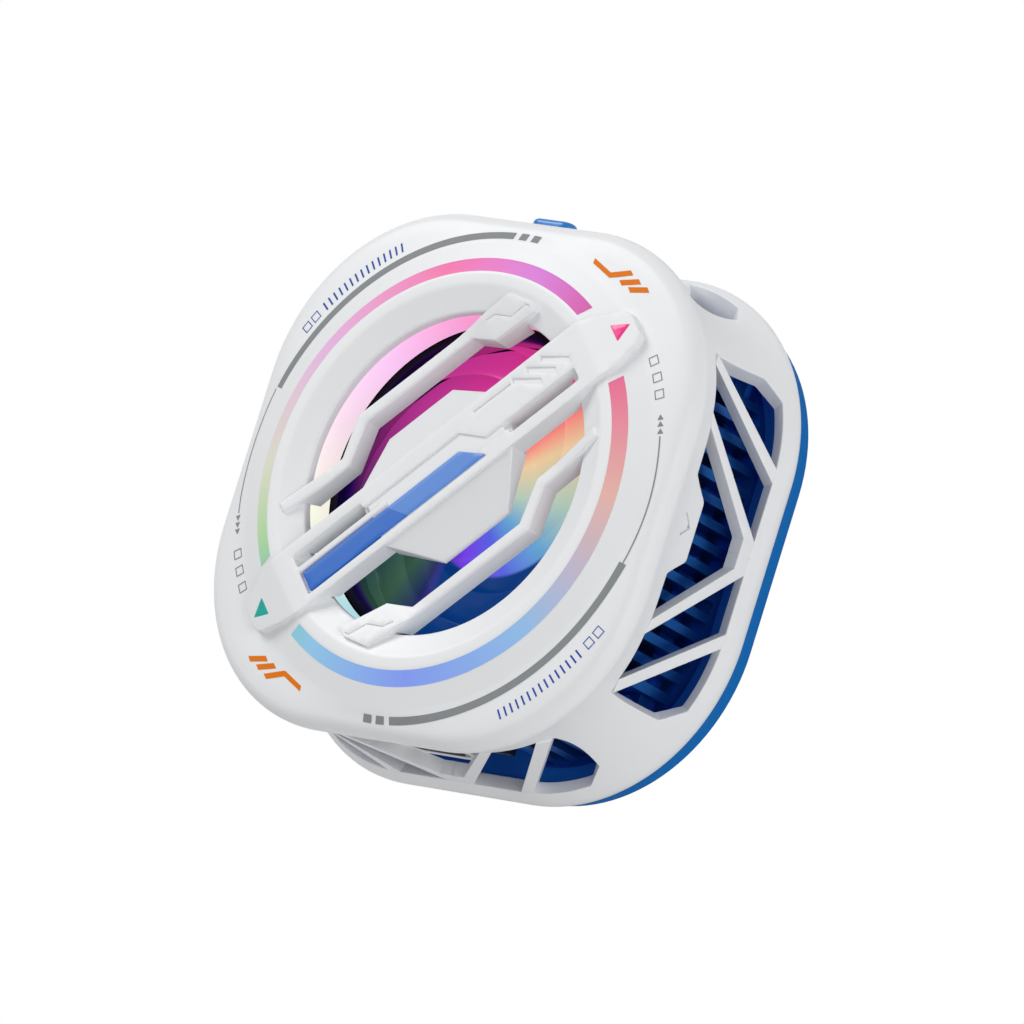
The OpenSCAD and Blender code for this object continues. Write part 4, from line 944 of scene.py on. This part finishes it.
class COOLER_OT_plate(bpy.types.Operator):
    """Bare blue plate with a slanted end, let into the bar"""
    bl_idname = "cooler.plate"
    bl_label = "Plate"

    def execute(self, context):
        s, looks = sizes(context), context.scene.cooler_looks
        mat, t, f, p = surface("plate_blue", looks.plate, 0.32, 0.08, 160, 0.03)
        # Paler beyond a line that slants across the plate
        xyz = object_xyz(t)
        lean = calc(t, "MULTIPLY_ADD", xyz[1], 1.35, calc(t, "MULTIPLY", xyz[0], 0.2))
        pale = mixed(t, calc(t, "GREATER_THAN", lean, -0.0088), f["Colour"], (0.105, 0.275, 0.74, 1))
        t.links.new(pale, p.inputs["Base Color"])
        m = Shape()
        plan = [(-21.5, -2.95), (6.75, -2.95), (3.7, -0.15), (-21.5, -0.15)]
        m.region([(*rounded(plan, 0.15, 0.8), 1)], on_bar(flat(s.bar_top - 0.08)), flat(0.6),
                 fillet=0.1, cell=0.9, steps=3)
        m.build("plate", [mat], "cooler", "blue_plastic", ["name_plate"])
        return {"FINISHED"}


class COOLER_OT_lenses(bpy.types.Operator):
    """Three-sided tinted windows at the two ends of the bar"""
    bl_idname = "cooler.lenses"
    bl_label = "Lenses"

    def execute(self, context):
        s, looks = sizes(context), context.scene.cooler_looks
        m, mats = Shape(), []
        rows = ("lens_upper", 1, looks.lens_front), ("lens_lower", -1, looks.lens_rear)
        p, n = rounded([(28.0, -1.35), (30.3, 0), (28.0, 1.35)], 0.12, 0.5)
        for mark, (name, sign, rgb) in enumerate(rows):
            mat, t, f, node = surface(name, rgb, 0.2, 0.3, 900)
            t.links.new(f["Colour"], node.inputs["Emission Color"])
            node.inputs["Emission Strength"].default_value = 0.25
            mats.append(mat)
            m.region([(sign * p, sign * n, 1)], on_bar(lambda a, b: bar_height(s, a) + 0.04), flat(0.5), fillet=0.08,
                     cell=0.6, mark=mark, steps=2)
        m.build("lenses", mats, "cooler", "lens_tint", ["bar_lenses"])
        return {"FINISHED"}


# Lights

class COOLER_OT_lights(bpy.types.Operator):
    """Two light guides set in the dome, and the glowing ring that lines the inlet"""
    bl_idname = "cooler.lights"
    bl_label = "Light rings"

    def execute(self, context):
        s = sizes(context)
        m = Shape()
        r0, r1 = s.lip_r + 0.1, s.light_out
        r = np.concatenate([[r0, r0 + 0.06], np.linspace(r0 + 0.3, r1 - 0.3, 5), [r1 - 0.06, r1]])
        lift = np.concatenate([[-0.1, 0.02], np.full(5, 0.04), [0.02, -0.1]])
        slope = (s.lip_z - s.dome_z) / (s.dome_r - s.lip_r)
        gap = np.arcsin(s.bridge_half / r)[:, None]
        for turn in (0, np.pi):
            u = np.linspace(0, 1, 90)
            a = turn + DIAG + gap + (np.pi - 2 * gap) * u
            z = np.repeat((s.lip_z - slope * (r - s.lip_r) + lift)[:, None], len(u), 1)
            m.grid(np.stack([r[:, None] * np.cos(a), r[:, None] * np.sin(a), z], -1), flip=True)
        m.build("light_arcs", [glow("light_guide", RING_STOPS, 0.62, base=0.35)], "cooler", "light_guide",
                ["light_ring"])
        n = Shape()
        waist_z, foot_z, back, turns = 23.4, 21.4, s.inlet_r + 0.8, 128
        n.revolve(bent([(s.dish_r, s.ceiling_z), (s.inlet_r + 0.1, s.ceiling_z), (s.inlet_r - 0.1, waist_z),
                        (s.inlet_r + 0.1, foot_z), (back, foot_z)], 0.9, 6), turns)
        n.revolve([(back, foot_z), (back, s.ceiling_z - 0.6), (s.dish_r, s.ceiling_z - 0.6), (s.dish_r, s.ceiling_z)],
                  turns)
        n.build("inner_guide", [glow("inner_guide", INNER_STOPS, 0.86, base=0.3)], "cooler", "inner_guide",
                ["inner_light_ring"])
        return {"FINISHED"}


# Fan and button

def fan_painted_light(t, w):
    """Share of painted light on the fan, which stands in for the lamps' light on the blades: bright over the blades,
    falling off toward the rim and a little down the blades.
    """
    return calc(t, "MULTIPLY", between(t, w["Radius"], 19.0, 23.0, 1.0, 0.5),
                between(t, w["Height"], 20.4, 13.0, 1.0, 0.6))


def duct_painted_light(t, w):
    """Share of painted light inside the duct, which stands in for the blades' light: dark under its upper edge, lit by
    the blades farther down.
    """
    r = put(t, "ShaderNodeGroup", node_tree=shared("Wheel", wheel_group)).outputs["Radius"]
    return calc(t, "MULTIPLY", between(t, w["Height"], 20.6, 18.2, 0.12, 1.0), between(t, r, 19.6, 19.9, 1.0, 0.0))


def duct_painted_shade(t, w, hue):
    """Painted shade: deep violet under the upper edge of the duct's wall."""
    return mixed(t, between(t, w["Height"], 18.2, 19.8), hue, (*srgb(60, 20, 150), 1))


def fan_painted_shade(t, w, hue):
    """Painted shade: deep blue over the lower blades, outside a circle that lies off the middle, where the lamps do not
    reach.
    """
    side = calc(t, "COSINE", calc(t, "MULTIPLY_ADD", w["Share"], 2 * np.pi, -0.197))
    # Squared distance from a point 5.1 mm off the middle
    r = w["Radius"]
    along = calc(t, "MULTIPLY", calc(t, "MULTIPLY", r, 10.2), side)
    off = calc(t, "SUBTRACT", calc(t, "MULTIPLY_ADD", r, r, 26.0), along)
    where = calc(t, "MULTIPLY", between(t, w["Share"], 0.715, 0.735), between(t, w["Share"], 0.95, 0.985, 1.0, 0.0))
    dim = calc(t, "MULTIPLY", where, between(t, off, 124.0, 134.0))
    return mixed(t, dim, hue, (*srgb(8, 58, 128), 1))


class COOLER_OT_fan(bpy.types.Operator):
    """Fan wheel: a rounded hub and a ring of blades. From hub to tip a blade runs round by the sweep, ever faster. From
    its front to its rear edge it runs back by the chord and falls by the blade's height. Its thickness follows the root
    of a half sine from edge to edge"""
    bl_idname = "cooler.fan"
    bl_label = "Fan wheel"

    def execute(self, context):
        s, looks = sizes(context), context.scene.cooler_looks
        m = Shape()
        low = s.rotor_top - 7
        m.revolve(bent([(0, s.rotor_top), (s.hub_r, s.rotor_top), (s.hub_r, low), (s.hub_r - 1, low)], 0.9, 6), 96,
                  flip=True)
        u = np.linspace(0, 1, 29)[:, None]
        n = 15
        v = (1 - np.cos(np.linspace(0, np.pi, n))) / 2
        v, side = np.concatenate([v, v[-2:0:-1]]), np.concatenate([np.ones(n), -np.ones(n - 2)])
        thick = s.blade_t / 2 * np.sqrt(np.maximum(np.sin(np.pi * v), 0)) * np.sqrt(np.clip((1 - u) / 0.06, 0, 1))
        r = s.hub_r - 0.4 + u * (s.fan_r - s.hub_r + 0.4) + 0 * v
        top = s.rotor_top - 0.2
        z = top - s.blade_t / 2 - (s.blade_h - s.blade_t) * v * (0.75 + 0.25 * v) - 0.8 * u * (1 - v) + side * thick
        turn = looks.sweep * u * (0.6 + 0.4 * u) - (looks.chord - np.radians(10) * u) * v
        for k in range(looks.blades):
            a = turn + 2 * np.pi * k / looks.blades
            m.grid(np.stack([r * np.cos(a), r * np.sin(a), z], -1), closed=True)
        # The fan is no lamp: its glow is painted light from the lamps, with painted shade over the lower blades
        painted_glow = glow("fan_plastic", FAN_STOPS, 0.85, rough=0.3, base=0.4, shade=fan_painted_light, painted_shade=fan_painted_shade, sheen=0.3,
                   lean=LEAN)
        m.build("fan_wheel", [painted_glow], "fan", "fan_plastic", ["impeller"])
        return {"FINISHED"}


class COOLER_OT_button(bpy.types.Operator):
    """Blue push button with rounded edges on the top side"""
    bl_idname = "cooler.button"
    bl_label = "Button"

    def execute(self, context):
        s, kit = sizes(context), material_set(context)
        m, w, h = Shape(), s.button_w / 2, s.button_h / 2

        def place(a, b, k):
            return np.stack([-a, s.button_face - k, b], -1)
        loop = rounded(box_loop(w, h, s.button_z), h - 0.01, 0.5)
        m.region([(*loop, 1)], place, flat(5.0), fillet=0.6, cell=0.6, steps=5)
        m.build("button", [kit["blue_plastic"]], "button", "blue_plastic", ["power_button"])
        return {"FINISHED"}


# Printed marks

def arc_band(r0, r1, a0, a1):
    """Loop round the band between two radii and two angles in degrees, counter-clockwise, with two points to the
    millimetre."""
    t = np.radians(np.linspace(a0, a1, max(2, int(np.radians(a1 - a0) * r1 * 2) + 1)))
    ring = np.stack([np.cos(t), np.sin(t)], -1)
    return np.concatenate([r1 * ring, r0 * ring[::-1]])


def mark_at(points, radius, angle):
    """Small plan of (along the circle, outward) moved to a radius and an angle in degrees."""
    p = np.asarray(points, float)
    return turned(np.stack([radius + p[:, 1], -p[:, 0]], -1), np.radians(angle))


class COOLER_OT_prints(bpy.types.Operator):
    """Generic printed marks on the shell's front: arcs, ticks, squares, triangles and slanted bars"""
    bl_idname = "cooler.prints"
    bl_label = "Printed marks"

    def execute(self, context):
        s, kit = sizes(context), material_set(context)
        m = Shape()

        def place(a, b, k):
            return np.stack([a, b, face_height(s, a, b) - k], -1)
        grey = [arc_band(r, r + 0.95, b, e) for r, b, e in (
            (30.1, 92, 165.5), (30.1, 88.2, 90.4), (30.1, 84.6, 86.8),
            (30.6, 274.8, 346.1), (30.6, 271, 273.3), (30.6, 267.4, 269.7))]
        blue, pairs, orange = [], [arc_band(31.0, 31.16, 166, 196)], []
        pairs += [mark_at([(0.35, 0.4), (-0.35, 0), (0.35, -0.4)], 31.1, a) for a in (197.2, 198.9, 200.5)]
        for a in (206, 210.2, 214.5):
            pairs += self.frame_mark(31.1, a, 0.62, 0.13)
        tick = box_loop(0.12, 0.65)
        for r, b, e in ((32.4, 123, 145), (33.7, 303.8, 325.3)):
            blue += [mark_at(tick, r, a) for a in np.linspace(b, e, 15)]
            for a in (e + 3.1, e + 6):
                blue += self.frame_mark(r, a, 0.6, 0.12)
        long, short = np.array([1.0, 0.98]), np.array([-0.41, 0.09])
        lean = [-long - short, long - short, long + short, short - long]
        orange += [mark_at(lean, r, a) for r, a in ((32.8, 52.5), (32.5, 55.6))]
        orange.append(np.array([(18.45, 27.74), (17.84, 28.32), (15.09, 27.68), (12.04, 29.19), (12.04, 28.52),
                                (15.16, 26.97)]))
        grey += [q for p in pairs for q in both(p)]
        orange = [q for p in orange for q in both(p)]
        for mark, loops in enumerate((grey, blue, orange)):
            for p in loops:
                m.patch(self.wound(p), place, 0.03, cell=0.9, mark=mark)
        names = ("grey_print", "blue_print", "orange_print")
        m.build("face_prints", [kit[n] for n in names], "cooler", "white_shell")
        return {"FINISHED"}

    @staticmethod
    def frame_mark(radius, angle, half, line):
        """Four strips that make the outline of a square."""
        out, i = half, half - line
        strips = [[(-out, -out), (out, -out), (out, -i), (-out, -i)], [(-out, i), (out, i), (out, out), (-out, out)],
                  [(-out, -i), (-i, -i), (-i, i), (-out, i)], [(i, -i), (out, -i), (out, i), (i, i)]]
        return [mark_at(p, radius, angle) for p in strips]

    @staticmethod
    def wound(p):
        """The loop, counter-clockwise."""
        area = np.sum(p[:, 0] * np.roll(p[:, 1], -1) - p[:, 1] * np.roll(p[:, 0], -1))
        return p if area > 0 else p[::-1]


# CAD nodes that show as they are

FINISH = {
    "led_board": "board", "leds": "led_body", "tact_switch": "switch_body", "switch_plunger": "washer",
    "fan_shroud": "duct_wall", "rotor_yoke": "steel", "rotor_magnet": "magnet", "fan_shaft": "steel",
    "fan_bearing": "bronze", "thrust_washer": "washer", "stator_core": "lamination", "stator_coils": "copper",
    "fan_base": "duct_wall", "fan_screws": "steel", "heatsink": "anodised", "heatsink_screws": "steel",
    "hot_pad": "thermal_pad", "peltier_hot_plate": "ceramic", "peltier_pellets": "pellet",
    "peltier_cold_plate": "ceramic", "insulation_frame": "foam", "cold_pad": "thermal_pad", "cold_plate": "aluminium",
    "base_plate": "base_blue", "magnets": "magnet", "magnet_shield": "steel", "contact_pad": "silicone",
    "main_board": "board", "board_chips": "chip", "usb_socket": "steel", "usb_blade": "chip", "flat_cable": "flex",
    "peltier_leads": "wire", "thermistor": "chip", "housing_screws": "steel",
}
SLOTS = {"duct_wall": "fan_frame"}
BEVELS = {"heatsink": 0.3, "base_plate": 0.3, "contact_pad": 0.1, "cold_plate": 0.15, "usb_socket": 0.08}


class COOLER_OT_inner(bpy.types.Operator):
    """Finishes of the CAD pieces that show as they are, with softened edges on those that can be seen"""
    bl_idname = "cooler.inner"
    bl_label = "CAD pieces"

    def execute(self, context):
        kit = material_set(context)
        for name, finish in FINISH.items():
            obj = NODES[name]
            obj.data.materials.clear()
            obj.data.materials.append(kit[finish])
            SLOTS.get(finish, finish)
            if name in BEVELS:
                b = obj.modifiers.new("Soft edges", "BEVEL")
                b.width, b.segments, b.use_clamp_overlap = BEVELS[name] * MM, 2, True
                b.limit_method, b.angle_limit = "ANGLE", np.radians(40)
        return {"FINISHED"}


# Stage

class COOLER_OT_stage(bpy.types.Operator):
    """White floor, soft studio lights and the camera at the photo's angle"""
    bl_idname = "cooler.stage"
    bl_label = "Stage"

    def execute(self, context):
        scene = context.scene
        scene.view_settings.view_transform = "Standard"
        self.floor()
        self.world(scene)
        self.light("key", (-0.95, 0.85, 1.0), 0.8, 13.5)
        self.light("fill", (1.3, 0.0, 0.7), 0.9, 8.0)
        self.light("front", (0.15, -1.2, 0.7), 0.8, 1.9)
        self.camera(scene)
        return {"FINISHED"}

    @staticmethod
    def floor():
        """Level floor a hair under the resting face. It looks plain white to the camera, and is a pale grey to the
        light."""
        mesh = bpy.data.meshes.new("floor")
        e, z = 4.0, -0.05 * MM
        mesh.from_pydata([(-e, -e, z), (e, -e, z), (e, e, z), (-e, e, z)], [], [(0, 1, 2, 3)])
        m, t, _, p = surface("floor_paint", (0.78, 0.78, 0.78), rough=0.7, spread=0.02, scale=4, grain=0.0)
        rays = put(t, "ShaderNodeLightPath").outputs
        white = put(t, "ShaderNodeEmission", {"Color": (1, 1, 1, 1), "Strength": 1.0}).outputs[0]
        mix = put(t, "ShaderNodeMixShader", {0: rays["Is Camera Ray"], 1: p.outputs[0], 2: white}).outputs[0]
        t.links.new(mix, t.nodes["Material Output"].inputs["Surface"])
        mesh.materials.append(m)
        obj = new_object("floor", mesh)

    @staticmethod
    def world(scene):
        """Even white surroundings."""
        w = bpy.data.worlds.new("studio")
        w.use_nodes = True
        back = w.node_tree.nodes["Background"]
        back.inputs["Color"].default_value = (1, 1, 1, 1)
        back.inputs["Strength"].default_value = 0.36
        scene.world = w

    @staticmethod
    def light(name, at, size, power):
        """Square soft light that faces the object."""
        data = bpy.data.lights.new(name, "AREA")
        data.size, data.energy = size, power
        obj = new_object(name, data)
        obj.location = at
        obj.rotation_euler = (Vector((0, 0, 0.015)) - Vector(at)).to_track_quat("-Z", "Y").to_euler()

    @staticmethod
    def camera(scene):
        """Long lens at the photo's angle, aimed so that the object lies where it does in the photo."""
        back = np.array([0.6334, -0.181, 0.7523])
        back /= np.linalg.norm(back)
        up = np.array([-0.1162, 0.939, 0.3237])
        up -= back * (up @ back)
        up /= np.linalg.norm(up)
        right = np.cross(up, back)
        # Distance in metres, focal length in pixels, the point aimed at, and its place off the picture's middle
        far, focal, aim, off = 1.821, 15151.5, np.array([0, 0, 0.0236]), (54.1, 31.0)
        at = aim + right * off[0] * far / focal - up * off[1] * far / focal + back * far
        cam = bpy.data.cameras.new("camera")
        cam.sensor_width, cam.lens = 36, 532.7
        obj = new_object("camera", cam)
        turn = np.eye(4)
        turn[:3, 0], turn[:3, 1], turn[:3, 2], turn[:3, 3] = right, up, back, at
        obj.matrix_world = Matrix(turn.tolist())
        scene.camera = obj


class COOLER_PT_panel(bpy.types.Panel):
    """Sizes and colours, and a button for each step"""
    bl_idname = "COOLER_PT_panel"
    bl_label = "Phone cooling fan"
    bl_space_type = "VIEW_3D"
    bl_region_type = "UI"
    bl_category = "Cooler"

    def draw(self, context):
        for name in STEPS:
            self.layout.operator(f"cooler.{name}")
        for group_name in ("cooler_sizes", "cooler_looks"):
            box = self.layout.box()
            data = getattr(context.scene, group_name)
            for key in data.__annotations__:
                box.prop(data, key)


STEPS = ("shell", "bar", "ribs", "plate", "lenses", "lights", "fan", "button", "prints", "inner", "stage")
CLASSES = (CoolerSizes, CoolerLooks, COOLER_OT_shell, COOLER_OT_bar, COOLER_OT_ribs, COOLER_OT_plate,
           COOLER_OT_lenses, COOLER_OT_lights, COOLER_OT_fan, COOLER_OT_button, COOLER_OT_prints, COOLER_OT_inner,
           COOLER_OT_stage, COOLER_PT_panel)


def register():
    for c in CLASSES:
        bpy.utils.register_class(c)
    bpy.types.Scene.cooler_sizes = PointerProperty(type=CoolerSizes)
    bpy.types.Scene.cooler_looks = PointerProperty(type=CoolerLooks)


def unregister():
    del bpy.types.Scene.cooler_looks
    del bpy.types.Scene.cooler_sizes
    for c in reversed(CLASSES):
        bpy.utils.unregister_class(c)


def main():
    """Registers the add-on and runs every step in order."""
    register()
    for name in STEPS:
        getattr(bpy.ops.cooler, name)()


if __name__ == "__main__":
    main()
